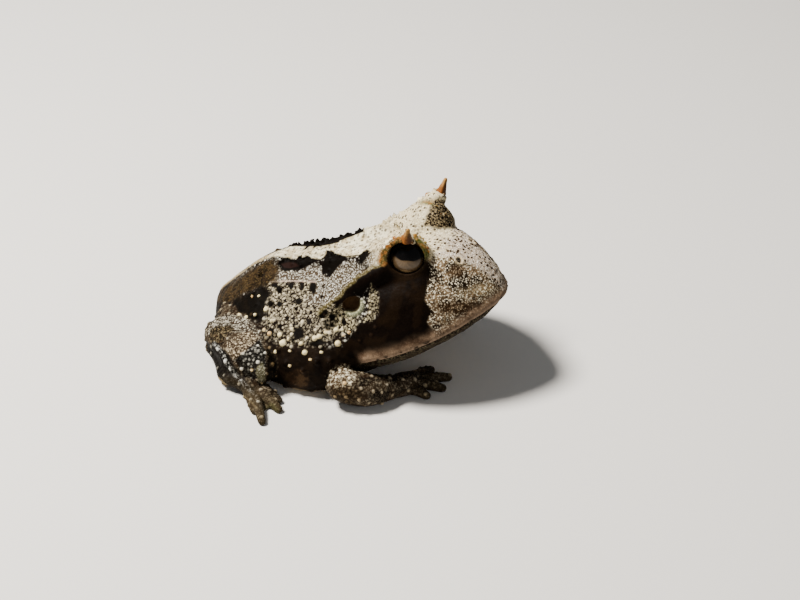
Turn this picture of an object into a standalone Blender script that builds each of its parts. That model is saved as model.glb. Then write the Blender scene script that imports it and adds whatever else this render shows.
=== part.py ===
"""A Surinam horned frog at life size, sitting with its head raised, as a still model.

The frog faces +X and stands on z = 0. Its right side is at -Y. Lengths are in metres,
and the tables of sections, limbs and warts are in millimetres.
The torso and the head are lofts, made one body with the eyelids and ridges, and then
parted into head, lower jaw and torso by thin cuts. Each limb is a chain of lofts that
stop just short of what they grow from.
"""

import math
import random

import bmesh
import bpy
import numpy as np
from mathutils import Matrix, Vector
from mathutils.bvhtree import BVHTree

MM = 0.001
GAP = 0.3 * MM            # what touching nodes keep between them
BEYOND = 80 * MM          # further than any part of the frog reaches
BODY_VOXEL = 0.8 * MM
NAME = "surinam_horned_frog"
SIDES = {"right": -1, "left": 1}

NODE_TRIANGLES = {"head": 2300, "lower_jaw": 800, "torso": 2000}

# The head has a frame of its own: the origin between the jaw corners, the mouth plane
# at height 0, and the snout raised by the pitch.
JAW_CORNER = Vector((10.8, 0, 11.5)) * MM
HEAD_PITCH = math.radians(28)
NECK_CUT = -5.0 * MM      # where the head ends, along the head
THROAT_CUT = -3.0 * MM    # where the lower jaw ends
MOUTH_DROP = 1.0 * MM     # how far the line of the mouth lies below the jaw corners
MOUTH_TILT = math.radians(3)    # and how much further it drops towards the snout
JAW_NARROWER = 0.95       # the lower jaw's width and length beside the upper's

EYE_RADIUS = 4.2 * MM
EYE_CENTRE = Vector((16.2, 8.2, 33.4)) * MM
EYE_OUTWARD = Vector((0.12, 0.93, 0.34))
LID_THICKNESS = 0.75 * MM
EYE_OPENING = (4.0 * MM, 3.6 * MM)       # half width and half height
EYE_SEGMENTS, EYE_RINGS = 18, 9
LID_CONE_FOOT = Vector((12.6, 7.4, 30.0)) * MM
LID_CONE_RADIUS = 6.4 * MM
HORN_BASE = Vector((16.8, 11.2, 39.6)) * MM
HORN_TIP = Vector((17.7, 12.4, 43.2)) * MM
HORN_RADIUS = 1.15 * MM
HORN_ROOT = 0.12                         # the share of the horn's length that is sunk

NOSTRIL_PLACE = Vector((23.6, 4.0, 10.9)) * MM    # in the head's frame
NOSTRIL_RADIUS = 0.7 * MM
EARDRUM_PLACE = Vector((2.4, 20.0, 11.9)) * MM    # in the head's frame
EARDRUM_RADIUS = 2.2 * MM
EARDRUM_THICKNESS = 0.6 * MM
EARDRUM_DEPTH = 0.25 * MM                # its face below the skin

# The torso, by upright sections from the vent to inside the head.
TORSO_X = (-36.0, -33, -29, -22, -15, -8, 0, 7, 12)
TORSO_TOP = (8.0, 11.2, 15.0, 20.8, 22.6, 24.9, 27.6, 30.4, 31.4)
TORSO_BOTTOM = (4, 1.5, -0.5, -1.2, -1.6, -1.6, -1.0, 2.6, 7.0)
TORSO_HALF_WIDTH = (2.0, 9.4, 14.2, 18.9, 22.4, 24.6, 24.2, 20.4, 17.0)
TORSO_WIDEST_AT = (5.5, 5.6, 5.8, 6.2, 6.6, 7.0, 8.6, 13, 16)
TORSO_UPPER_POWER = 1.4
TORSO_LOWER_POWER = 4.2

# The head, by sections across its own frame from the neck to the snout.
HEAD_ALONG = (-12, -6, 0, 6, 12, 17, 21, 24, 26, 27.6, 28.6)
HEAD_HALF_WIDTH = (17.5, 19.6, 20.4, 20.2, 18.6, 16.0, 12.7, 9.4, 6.6, 3.7, 0.8)
HEAD_RISE = (19.5, 19.3, 18.6, 17.6, 16.8, 15.9, 14.5, 12.0, 9.0, 5.6, 2.2)
HEAD_DROP = (8, 8, 7.8, 7.3, 6.6, 6.0, 5.3, 4.6, 3.9, 2.9, 1.4)
HEAD_UPPER_POWER = (2.2, 2.3, 2.4, 2.5, 2.6, 2.5, 2.3, 2.1, 2.0, 2.0, 2.0)

RIDGES = {  # soft ridges of the left side, as paths and radii
    "crest_front": (((13.0, 10.2, 35.0), (5.2, 7.4, 29.3), (-1.5, 5.6, 26.3)), (2.4, 2.0, 1.8)),
    "crest_back": (((-1.0, 5.7, 26.4), (-10.0, 4.0, 22.9), (-18.5, 2.4, 20.6)), (1.8, 1.7, 1.6)),
    "over_eardrum": (((12.0, 12.2, 31.4), (6.2, 15.2, 27.4), (-1.0, 18.6, 20.0)), (1.9, 1.6, 1.2)),
    "lid_to_nostril": (((19.0, 6.6, 31.6), (24.2, 4.8, 30.8), (27.6, 2.8, 28.8)), (2.0, 1.8, 1.3)),
}

ARM = {
    "upper_arm": dict(points=((0, 14, 11), (2.6, 18.8, 8), (5.4, 22.4, 5.2)), radii=(4.0, 3.6, 2.8)),
    "forearm": dict(points=((6.2, 23.6, 5.2), (11.0, 21.8, 4.0), (15.4, 17.2, 2.9)),
                    radii=(3.8, 3.7, 2.7)),
    "hand": dict(points=((15.8, 16.4, 2.5), (17.6, 13.6, 2.1), (18.8, 11.3, 1.6)),
                 radii=(2.6, 2.7, 2.2)),
}
FINGERS = (  # root and tip
    ((17.8, 14.8, 1.5), (23.2, 14.6, 0.8)),
    ((19.0, 12.8, 1.6), (25.6, 10.6, 0.8)),
    ((19.2, 11.2, 1.6), (25.4, 6.0, 0.8)),
    ((18.0, 10.4, 1.5), (20.6, 4.6, 0.8)),
)
FINGER_RADII = (1.35, 1.1, 0.9)
ELBOW = Vector((6.2, 23.6, 0))
ARM_TURN = {"right": 0.0, "left": math.radians(16)}    # the left hand is turned out
ARM_SHIFT = {"right": Vector((0, 0, 0)), "left": Vector((-8.0, 2.8, 0))}    # further back

LEG = {
    "thigh": dict(points=((-27.5, 10, 6.8), (-22, 15, 7.2), (-16.5, 19.5, 6.8)), radii=(4.6, 4.8, 4.2)),
    "shank": dict(points=((-27.8, 17.2, 7.2), (-21.2, 21.6, 7.0), (-14.4, 24.0, 6.2)),
                  radii=(3.8, 4.6, 4.0)),
    "foot": dict(points=((-28.6, 17.6, 4.2), (-21.6, 23.6, 3.2), (-15.0, 28.0, 2.2)),
                 radii=(2.8, 2.6, 2.2)),
}
LEG_SHIFT = {  # the left leg lies lower and closer to the body, out of the photo's sight
    "right": {},
    "left": {"thigh": Vector((0, -1.5, -0.8)), "shank": Vector((0, -1.6, -1.2)),
             "foot": Vector()},
}
TOES = (  # root and tip
    ((-14.6, 26.4, 1.6), (-10.8, 26.6, 0.8)),
    ((-13.8, 27.2, 1.6), (-8.0, 28.6, 0.8)),
    ((-13.4, 28.2, 1.6), (-6.6, 31.8, 0.8)),
    ((-14.0, 29.2, 1.6), (-8.2, 37.4, 0.8)),
    ((-15.2, 29.4, 1.6), (-11.6, 34.2, 0.8)),
)
TOE_RADII = (1.3, 1.1, 0.85)
WEB_REACH = 0.65                # how far the web runs out along the toes
WEB_HEIGHTS = (0.15, 0.85)      # its underside and its top

# What meets what, from the body outwards.
LIMB_CHAIN = (
    ("upper_arm", ("torso", "head", "lower_jaw")),
    ("forearm", ("upper_arm", "torso", "head", "lower_jaw")),
    ("hand", ("forearm", "torso")),
    ("thigh", ("torso",)),
    ("shank", ("thigh", "torso")),
    ("foot", ("shank", "thigh", "torso")),
)

FLANK_WARTS = 60
WART_SIZES = (0.55, 1.15)       # smallest and largest radius
WART_SPACING = 3.0
WART_SIDES = 5
RIM_TUBERCLES = 7               # along each upper lid
SPIKE_SIZE = (0.6, 0.9)         # radius and height in the serrated rows
SERRATED_ROWS = {  # rows of the left side of the back, by node: from, to, count
    "torso": (((-17.5, 2.8, 24), (-10.5, 3.9, 26), 6), ((-6.2, 4.7, 28), (-4.8, 4.9, 28.5), 2)),
    "head": (((-2.8, 5.3, 29), (-0.4, 5.8, 29.5), 3), ((4.0, 7.4, 31.5), (6.2, 7.8, 33), 3)),
}

COLOURS = {  # base colour and roughness by the first word of a node's name
    "head": ((0.42, 0.31, 0.20), 0.55),
    "lower": ((0.55, 0.42, 0.32), 0.55),
    "torso": ((0.38, 0.28, 0.18), 0.6),
    "eye": ((0.45, 0.40, 0.26), 0.1),
    "horn": ((0.35, 0.17, 0.06), 0.5),
    "eardrum": ((0.30, 0.24, 0.15), 0.5),
}
LIMB_COLOUR = ((0.24, 0.17, 0.10), 0.6)


def clear_scene():
    for thing in list(bpy.data.objects):
        bpy.data.objects.remove(thing, do_unlink=True)


def head_matrix():
    """From the head's own frame (along, side, up) to the frog's frame."""
    return Matrix.Translation(JAW_CORNER) @ Matrix.Rotation(-HEAD_PITCH, 4, "Y")


def mouth_matrix():
    """The head's frame, lowered and tilted so that its base plane parts the jaws."""
    return head_matrix() @ Matrix.Translation((0, 0, -MOUTH_DROP)) @ Matrix.Rotation(MOUTH_TILT, 4, "Y")


def on_side(point, side):
    """A point of the left side, or its twin on the right."""
    return Vector((point[0], side * point[1], point[2]))


def smooth_curve(stations, values, at):
    """A smooth curve through the values."""
    x = np.asarray(stations, float)
    y = np.asarray(values, float)
    slope = np.gradient(y, x)
    at = np.clip(np.asarray(at, float), x[0], x[-1])
    i = np.clip(np.searchsorted(x, at, side="right") - 1, 0, len(x) - 2)
    width = x[i + 1] - x[i]
    t = (at - x[i]) / width
    return ((1 + 2 * t) * (1 - t) ** 2 * y[i] + t * (1 - t) ** 2 * width * slope[i]
            + t * t * (3 - 2 * t) * y[i + 1] + t * t * (t - 1) * width * slope[i + 1])


def superellipse_ring(sides, half_width, rise, drop, upper_power, lower_power):
    """Points of one section as (side, up): widest at height 0, rising and dropping from it."""
    ring = []
    for k in range(sides):
        angle = 2 * math.pi * k / sides
        c, s = math.cos(angle), math.sin(angle)
        power = upper_power if s >= 0 else lower_power
        reach = rise if s >= 0 else drop
        ring.append((half_width * math.copysign(abs(c) ** (2 / power), c),
                     reach * math.copysign(abs(s) ** (2 / power), s)))
    return ring


def link(name, mesh):
    thing = bpy.data.objects.new(name, mesh)
    bpy.context.scene.collection.objects.link(thing)
    return thing


def to_object(name, bm, matrix=None):
    mesh = bpy.data.meshes.new(name)
    bm.to_mesh(mesh)
    bm.free()
    if matrix:
        mesh.transform(matrix)
    return link(name, mesh)


def loft(name, rings):
    """A closed surface through rings of points, with a fan over each end."""
    bm = bmesh.new()
    made = [[bm.verts.new(point) for point in ring] for ring in rings]
    count = len(made[0])
    for near, far in zip(made, made[1:]):
        for k in range(count):
            following = (k + 1) % count
            bm.faces.new((near[k], near[following], far[following], far[k]))
    for ring, order in ((made[0], -1), (made[-1], 1)):
        middle = bm.verts.new(sum((v.co for v in ring), Vector()) / count)
        for k in range(count):
            pair = (ring[k], ring[(k + 1) % count])[::order]
            bm.faces.new((*pair, middle))
    bmesh.ops.recalc_face_normals(bm, faces=bm.faces)
    return to_object(name, bm)


def tube(name, points, radii, sides=12, steps=11):
    """A limb: round sections along a smooth path in millimetres, with round ends."""
    points = np.array([tuple(p) for p in points])
    lengths = np.cumsum([0, *np.linalg.norm(np.diff(points, axis=0), axis=1)])
    whole = lengths[-1]

    def path(at):
        return Vector([float(smooth_curve(lengths, points[:, k], at)) for k in range(3)])

    rings = []
    for share in (1 - np.cos(math.pi * np.linspace(0, 1, steps))) / 2:
        at = -radii[0] + share * (whole + radii[0] + radii[-1])
        spot = min(max(at, 0), whole)
        past = at - spot
        before, after = max(spot - 0.01 * whole, 0), min(spot + 0.01 * whole, whole)
        along = (path(after) - path(before)).normalized()
        across = along.cross(Vector((0, 0, 1))).normalized()
        upward = across.cross(along)
        roundness = math.sqrt(max(1 - (past / radii[0 if past < 0 else -1]) ** 2, 0.0))
        radius = float(smooth_curve(lengths, radii, spot)) * max(roundness, 0.05)
        turns = [2 * math.pi * k / sides for k in range(sides)]
        rings.append([(path(spot) + along * past + across * radius * math.cos(turn)
                       + upward * radius * math.sin(turn)) * MM for turn in turns])
    return loft(name, rings)


def ball(name, centre, radii, turn=None, segments=24, rings=16):
    """An ellipsoid from its centre and half sizes in metres."""
    bm = bmesh.new()
    bmesh.ops.create_uvsphere(bm, u_segments=segments, v_segments=rings, radius=1)
    turn = turn or Matrix.Identity(4)
    return to_object(name, bm, Matrix.Translation(centre) @ turn @ Matrix.Diagonal((*radii, 1)))


def facing(direction):
    """A turn that brings +Z onto a direction and keeps +X level."""
    direction = direction.normalized()
    level = Vector((0, 0, 1)).cross(direction).normalized()
    turn = Matrix((level, direction.cross(level), direction)).transposed()
    return turn.to_4x4()


def cone(name, base, tip, base_radii, tip_share, segments=12):
    """A cone or rod from base to tip. Its section is an ellipse with the two base radii."""
    bm = bmesh.new()
    bmesh.ops.create_cone(bm, cap_ends=True, segments=segments, radius1=1, radius2=tip_share,
                          depth=(tip - base).length)
    return to_object(name, bm, Matrix.Translation((base + tip) / 2) @ facing(tip - base)
                     @ Matrix.Diagonal((*base_radii, 1, 1)))


def box(name, low, high, matrix=None):
    bm = bmesh.new()
    bmesh.ops.create_cube(bm, size=1)
    low, high = Vector(low), Vector(high)
    place = Matrix.Translation((low + high) / 2) @ Matrix.Diagonal((*(high - low), 1))
    return to_object(name, bm, (matrix or Matrix.Identity(4)) @ place)


def hull(name, points):
    """The tightest convex solid round some points in millimetres."""
    bm = bmesh.new()
    for point in points:
        bm.verts.new(Vector(point) * MM)
    made = bmesh.ops.convex_hull(bm, input=bm.verts)
    bmesh.ops.delete(bm, geom=[g for g in made["geom_interior"] if isinstance(g, bmesh.types.BMVert)],
                     context="VERTS")
    bmesh.ops.recalc_face_normals(bm, faces=bm.faces)
    return to_object(name, bm)


def apply_modifiers(thing):
    graph = bpy.context.evaluated_depsgraph_get()
    mesh = bpy.data.meshes.new_from_object(thing.evaluated_get(graph))
    old = thing.data
    thing.modifiers.clear()
    thing.data = mesh
    bpy.data.meshes.remove(old)
    return thing


def boolean(thing, other, operation, solver="EXACT"):
    """Joins or cuts thing with another object, which is then removed."""
    modifier = thing.modifiers.new(operation.lower(), "BOOLEAN")
    modifier.operation = operation
    modifier.object = other
    modifier.solver = solver
    apply_modifiers(thing)
    bpy.data.objects.remove(other)
    return thing


def union_all(thing, pieces):
    """Joins many pieces to a thing in one union."""
    group = bpy.data.collections.new("pieces")
    bpy.context.scene.collection.children.link(group)
    for piece in pieces:
        bpy.context.scene.collection.objects.unlink(piece)
        group.objects.link(piece)
    modifier = thing.modifiers.new("union", "BOOLEAN")
    modifier.operation = "UNION"
    modifier.operand_type = "COLLECTION"
    modifier.collection = group
    modifier.solver = "MANIFOLD"
    apply_modifiers(thing)
    for piece in pieces:
        bpy.data.objects.remove(piece)
    bpy.data.collections.remove(group)
    return thing


def copy_of(thing, name):
    return link(name, thing.data.copy())


def fuse(name, pieces, voxel, rounds):
    """Pieces made one skin: remeshed together and eased."""
    bm = bmesh.new()
    for piece in pieces:
        bm.from_mesh(piece.data)
        bpy.data.objects.remove(piece)
    whole = to_object(name, bm)
    remesh = whole.modifiers.new("remesh", "REMESH")
    remesh.mode = "VOXEL"
    remesh.voxel_size = voxel
    smooth = whole.modifiers.new("smooth", "SMOOTH")
    smooth.factor = 0.5
    smooth.iterations = rounds
    return apply_modifiers(whole)


def cut_clear(thing, neighbours):
    """Cuts thing back until it keeps the gap to each neighbour."""
    for neighbour in neighbours:
        grown = copy_of(neighbour, "grown")
        modifier = grown.modifiers.new("grow", "DISPLACE")
        modifier.mid_level = 0
        modifier.strength = GAP
        boolean(thing, apply_modifiers(grown), "DIFFERENCE", "MANIFOLD")
    return thing


def area_of(island):
    """The area of the faces round some points."""
    return sum(face.calc_area() for face in {face for vert in island for face in vert.link_faces})


def keep_largest(thing):
    """Keeps the largest closed surface of a cut thing and drops the loose scraps."""
    bm = bmesh.new()
    bm.from_mesh(thing.data)
    left = set(bm.verts)
    islands = []
    while left:
        island, edge = set(), [left.pop()]
        while edge:
            vert = edge.pop()
            island.add(vert)
            for other in (e.other_vert(vert) for e in vert.link_edges):
                if other in left:
                    left.remove(other)
                    edge.append(other)
        islands.append(island)
    islands.sort(key=area_of)
    for island in islands[:-1]:
        bmesh.ops.delete(bm, geom=list(island), context="VERTS")
    bmesh.ops.triangulate(bm, faces=bm.faces)
    bm.to_mesh(thing.data)
    bm.free()
    return thing


def decimate(thing, triangles):
    thing.data.calc_loop_triangles()
    modifier = thing.modifiers.new("decimate", "DECIMATE")
    modifier.ratio = min(1.0, triangles / len(thing.data.loop_triangles))
    modifier.use_collapse_triangulate = True
    return apply_modifiers(thing)


def rest_on_floor(thing):
    """Cuts off what lies below the floor, which leaves small flats at z = 0."""
    floor = box("floor", (-0.2, -0.2, -0.05), (0.2, 0.2, 0))
    return boolean(thing, floor, "DIFFERENCE", "MANIFOLD")


def surface_of(thing):
    mesh = thing.data
    return BVHTree.FromPolygons([v.co for v in mesh.vertices], [p.vertices for p in mesh.polygons])


def torso_form():
    rings = []
    for share in np.linspace(0, 1, 26):
        x = TORSO_X[0] + (TORSO_X[-1] - TORSO_X[0]) * (1 - math.cos(math.pi * share / 2))
        top, bottom, half_width, widest = (
            float(smooth_curve(TORSO_X, values, x)) * MM
            for values in (TORSO_TOP, TORSO_BOTTOM, TORSO_HALF_WIDTH, TORSO_WIDEST_AT))
        ring = superellipse_ring(40, half_width, top - widest, widest - bottom,
                                 TORSO_UPPER_POWER, TORSO_LOWER_POWER)
        rings.append([Vector((x * MM, side, widest + up)) for side, up in ring])
    return loft("torso_form", rings)


def head_form():
    turn = head_matrix()
    rings = []
    for share in np.linspace(0, 1, 26):
        along = HEAD_ALONG[0] + (HEAD_ALONG[-1] - HEAD_ALONG[0]) * math.sin(math.pi * share / 2)
        half_width, rise, drop = (float(smooth_curve(HEAD_ALONG, values, along)) * MM
                                  for values in (HEAD_HALF_WIDTH, HEAD_RISE, HEAD_DROP))
        power = float(smooth_curve(HEAD_ALONG, HEAD_UPPER_POWER, along))
        ring = superellipse_ring(44, half_width, rise, drop, power, 2.0)
        rings.append([turn @ Vector((along * MM, side, up)) for side, up in ring])
    return loft("head_form", rings)


def eyelid_forms(side):
    """The lids as a ball round the eye, and the upper lid drawn up into a cone below the horn."""
    radius = EYE_RADIUS + LID_THICKNESS
    mound = ball("mound", on_side(EYE_CENTRE, side), (radius,) * 3)
    lid = cone("lid", on_side(LID_CONE_FOOT, side), on_side(HORN_BASE, side) + Vector((0, 0, 0.5 * MM)),
               (LID_CONE_RADIUS,) * 2, HORN_RADIUS / LID_CONE_RADIUS, segments=24)
    return [mound, lid]


def ridge_forms(side):
    return [tube("ridge", [on_side(p, side) for p in path], radii)
            for path, radii in RIDGES.values()]


def front_of(along, low, high):
    """A large box, in front of a plane across the head and between two heights above the mouth."""
    return box("front", (along, -BEYOND, low), (BEYOND, BEYOND, high), mouth_matrix())


def body_nodes():
    """The head, lower jaw and torso, modelled whole and parted by thin cuts."""
    forms = [torso_form(), head_form()]
    for side in SIDES.values():
        forms += eyelid_forms(side) + ridge_forms(side)
    body = fuse("body", forms, BODY_VOXEL, 4)
    half = GAP / 2
    nodes = {}
    for name, along, low, high, triangles in (
            ("head", NECK_CUT, half, BEYOND, NODE_TRIANGLES["head"]),
            ("lower_jaw", THROAT_CUT, -BEYOND, -half, NODE_TRIANGLES["lower_jaw"])):
        nodes[name] = boolean(copy_of(body, name), front_of(along, low, high), "INTERSECT", "MANIFOLD")
        decimate(keep_largest(nodes[name]), triangles)
    turn = head_matrix()
    narrower = Matrix.Diagonal((JAW_NARROWER, JAW_NARROWER, 1, 1))
    nodes["lower_jaw"].data.transform(turn @ narrower @ turn.inverted())
    body.name = "torso"
    for along, low, high in ((NECK_CUT - GAP, -half, BEYOND), (THROAT_CUT - GAP, -BEYOND, half)):
        boolean(body, front_of(along, low, high), "DIFFERENCE", "MANIFOLD")
    nodes["torso"] = decimate(keep_largest(body), NODE_TRIANGLES["torso"])
    return nodes


def open_eyelids(head, side):
    """Cuts the socket and the opening between the lids."""
    centre = on_side(EYE_CENTRE, side)
    outward = on_side(EYE_OUTWARD, side).normalized()
    boolean(head, ball("socket", centre, (EYE_RADIUS + GAP,) * 3, segments=EYE_SEGMENTS, rings=EYE_RINGS),
            "DIFFERENCE", "MANIFOLD")
    opening = cone("opening", centre, centre + outward * 2 * EYE_RADIUS, EYE_OPENING, 1.0, segments=16)
    boolean(head, opening, "DIFFERENCE", "MANIFOLD")


def eye(name, side):
    return ball(name, on_side(EYE_CENTRE, side), (EYE_RADIUS,) * 3, segments=EYE_SEGMENTS, rings=EYE_RINGS)


def horn(name, side, head):
    base, tip = on_side(HORN_BASE, side), on_side(HORN_TIP, side)
    root = base - (tip - base) * HORN_ROOT
    made = cone(name, root, tip, (HORN_RADIUS * (1 + HORN_ROOT),) * 2, 0.2, segments=12)
    return keep_largest(cut_clear(made, [head]))


def pierce_nostril(head, side):
    """A short slanting pit, sunk in from the surface."""
    spot, normal, _, _ = surface_of(head).find_nearest(head_matrix() @ on_side(NOSTRIL_PLACE, side))
    boolean(head, ball("pit", spot, (NOSTRIL_RADIUS, NOSTRIL_RADIUS * 1.4, NOSTRIL_RADIUS),
                       facing(normal), segments=10, rings=8), "DIFFERENCE", "MANIFOLD")


def eardrum(name, side, head):
    """A thin disc in a shallow recess behind the eye."""
    spot, normal, _, _ = surface_of(head).find_nearest(head_matrix() @ on_side(EARDRUM_PLACE, side))
    face = spot - normal * EARDRUM_DEPTH
    back = face - normal * EARDRUM_THICKNESS
    recess = cone("recess", back - normal * GAP, spot + normal * 2 * MM,
                  (EARDRUM_RADIUS + GAP,) * 2, 1.0, segments=16)
    boolean(head, recess, "DIFFERENCE", "MANIFOLD")
    return cone(name, back, face, (EARDRUM_RADIUS,) * 2, 0.96, segments=16)


def arm_point(point, word):
    """A point of the arm or hand, turned about the elbow and set back as that side's is."""
    turned = Matrix.Rotation(ARM_TURN[word], 3, "Z") @ (Vector(point) - ELBOW) + ELBOW
    return turned + ARM_SHIFT[word]


def leg_point(point, name, word):
    """A point of a piece of the leg, where that side's leg lies."""
    return Vector(point) + LEG_SHIFT[word].get(name, Vector())


def digit(root, tip, radii):
    """One finger or toe: a low arch from its root to its tip."""
    middle = (root + tip) / 2
    middle.z += 0.5
    return tube("digit", (root, middle, tip), radii, sides=8, steps=9)


def web(near, far):
    """The skin between two neighbouring toes, each given by its root and tip."""
    corners = [root for root, _ in (near, far)]
    corners += [root + WEB_REACH * (tip - root) for root, tip in (near, far)]
    return hull("web", [(p.x, p.y, z) for p in corners for z in WEB_HEIGHTS])


def limb_pieces(word, side):
    made = {}
    for name, spec in {**ARM, **LEG}.items():
        def place(point):
            return on_side(arm_point(point, word) if name in ARM else leg_point(point, name, word), side)

        made[name] = tube(name, [place(p) for p in spec["points"]], spec["radii"])
        if name == "hand":
            digits = [(place(root), place(tip)) for root, tip in FINGERS]
            union_all(made[name], [digit(*ends, FINGER_RADII) for ends in digits])
        if name == "foot":
            digits = [(place(root), place(tip)) for root, tip in TOES]
            webs = [web(*pair) for pair in zip(digits, digits[1:])]
            union_all(made[name], [digit(*ends, TOE_RADII) for ends in digits] + webs)
    return made


def wart(spot, normal, radius, height):
    """A low blunt cone, its root sunk into the skin by as much as it stands out."""
    sunk = spot - normal * height
    return cone("wart", sunk, spot + normal * height, (radius * 1.3,) * 2, 0.25, segments=WART_SIDES)


def add_warts(torso, others):
    """Warts of many sizes over the flanks, clear of the other nodes, and the rows of the back."""
    draw = random.Random(11)
    skin = surface_of(torso)
    near = [surface_of(other) for other in others]
    spots, warts = [], []
    while len(warts) < FLANK_WARTS:
        x = draw.uniform(-32, 5) * MM
        turn = math.radians(draw.uniform(-28, 68))
        side = draw.choice((-1, 1))
        start = Vector((x, side * 30 * MM * math.cos(turn), 7 * MM + 30 * MM * math.sin(turn)))
        spot, normal, _, _ = skin.find_nearest(start)
        size = draw.uniform(*WART_SIZES) * MM
        room = size + 1.0 * MM
        crowded = any((spot - other).length < WART_SPACING * MM for other in spots)
        blocked = any(tree.find_nearest(spot)[3] < room for tree in near)
        if crowded or blocked or spot.z < room:
            continue
        spots.append(spot)
        warts.append(wart(spot, normal, size, size * draw.uniform(0.7, 1.1)))
    return union_all(torso, warts + serrated_rows(torso, "torso"))


def serrated_rows(node, name):
    """Small pointed tubercles in rows along the back."""
    skin = surface_of(node)
    radius, height = SPIKE_SIZE
    spikes = []
    for side in SIDES.values():
        for start, end, count in SERRATED_ROWS[name]:
            for k in range(count):
                place = on_side(Vector(start).lerp(Vector(end), k / (count - 1)), side) * MM
                spot, normal, _, _ = skin.find_nearest(place)
                spikes.append(wart(spot, normal, radius * MM, height * MM))
    return spikes


def add_head_tubercles(head):
    """Small tubercles along the edge of each upper lid, largest beside the horn, and the rows."""
    skin = surface_of(head)
    rim = []
    for side in SIDES.values():
        centre = on_side(EYE_CENTRE, side)
        for k in range(RIM_TUBERCLES):
            turn = math.radians(20 + 140 * k / (RIM_TUBERCLES - 1))
            reach, out = EYE_RADIUS + LID_THICKNESS, 3 * MM
            place = centre + Vector((math.cos(turn) * reach, side * out, math.sin(turn) * reach))
            spot, normal, _, _ = skin.find_nearest(place)
            size = (0.45 + 0.3 * math.sin(turn)) * MM
            rim.append(wart(spot, normal, size, size * 1.3))
    return union_all(head, rim + serrated_rows(head, "head"))


def paint(thing):
    """Gives a node its own plain material."""
    colour, roughness = COLOURS.get(thing.name.split("_")[0], LIMB_COLOUR)
    material = bpy.data.materials.new(thing.name)
    material.use_nodes = True
    shader = material.node_tree.nodes["Principled BSDF"]
    shader.inputs["Base Color"].default_value = (*colour, 1)
    shader.inputs["Roughness"].default_value = roughness
    shader.inputs["Metallic"].default_value = 0
    thing.data.materials.clear()
    thing.data.materials.append(material)


def stand_at_origin(nodes):
    """Puts the middle of the whole frog's box over the origin, with its lowest point at z = 0."""
    corners = np.array([v.co for thing in nodes for v in thing.data.vertices])
    low, high = corners.min(axis=0), corners.max(axis=0)
    middle = (low + high) / 2
    for thing in nodes:
        thing.data.transform(Matrix.Translation((-middle[0], -middle[1], -low[2])))


def build():
    clear_scene()
    nodes = body_nodes()
    head, torso = nodes["head"], nodes["torso"]
    rest_on_floor(torso)
    add_head_tubercles(head)
    for word, side in SIDES.items():
        open_eyelids(head, side)
        pierce_nostril(head, side)
        nodes["eardrum_" + word] = eardrum("eardrum_" + word, side, head)
        nodes["eye_" + word] = eye("eye_" + word, side)
        nodes["horn_" + word] = horn("horn_" + word, side, head)
    for word, side in SIDES.items():
        limbs = limb_pieces(word, side)
        for name, neighbours in LIMB_CHAIN:
            thing = limbs[name]
            thing.name = f"{name}_{word}"
            nodes[thing.name] = thing
            cut_clear(thing, [limbs.get(n) or nodes[n] for n in neighbours])
            keep_largest(rest_on_floor(thing))
    add_warts(torso, [thing for name, thing in nodes.items() if name != "torso"])
    collection = bpy.data.collections.new(NAME)
    bpy.context.scene.collection.children.link(collection)
    for thing in nodes.values():
        keep_largest(thing)
        paint(thing)
        bpy.context.scene.collection.objects.unlink(thing)
        collection.objects.link(thing)
    stand_at_origin(list(nodes.values()))


build()
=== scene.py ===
"""The looks of a Surinam horned frog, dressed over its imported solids.

One skin of about 300,000 points replaces the nodes of flesh. It is the
solids run together, eased, and then given its mouth, nostrils, eardrums, folds and warts
by moving points. Eyes and horns stay separate pieces. Lengths are in millimetres unless
a name says metres. Markings are laid out on the frog's side as the photo shows it, and
the other side is their mirror image with its own small warts.
"""

import math
import random

import bmesh
import bpy
import numpy as np
from mathutils import Matrix, Vector
from mathutils.bvhtree import BVHTree
from mathutils.kdtree import KDTree


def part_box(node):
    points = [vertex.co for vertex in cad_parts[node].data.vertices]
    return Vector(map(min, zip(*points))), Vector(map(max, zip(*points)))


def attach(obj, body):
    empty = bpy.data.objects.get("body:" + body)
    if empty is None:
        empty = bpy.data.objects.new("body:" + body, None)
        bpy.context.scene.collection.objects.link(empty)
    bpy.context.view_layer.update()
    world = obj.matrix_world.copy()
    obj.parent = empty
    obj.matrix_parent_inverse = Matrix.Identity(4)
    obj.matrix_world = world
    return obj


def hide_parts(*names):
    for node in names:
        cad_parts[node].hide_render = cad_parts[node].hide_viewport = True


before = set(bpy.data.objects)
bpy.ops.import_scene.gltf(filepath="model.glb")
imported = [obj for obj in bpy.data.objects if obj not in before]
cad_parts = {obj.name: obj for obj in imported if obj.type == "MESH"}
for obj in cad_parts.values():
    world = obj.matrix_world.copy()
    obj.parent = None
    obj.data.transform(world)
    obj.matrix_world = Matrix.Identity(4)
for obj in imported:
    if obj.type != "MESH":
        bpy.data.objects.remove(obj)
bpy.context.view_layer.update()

MM = 0.001
VOXEL = 0.23                 # spacing of the skin's points
SEAM_CLOSE = 0.2             # how far each solid is grown so that the thin cuts close
SIDES = {"right": -1, "left": 1}


def eye_centre(word):
    """The middle of a packed eye, in millimetres."""
    low, high = (np.array(corner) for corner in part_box("eye_" + word))
    return (low + high) / 2 / MM


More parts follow.
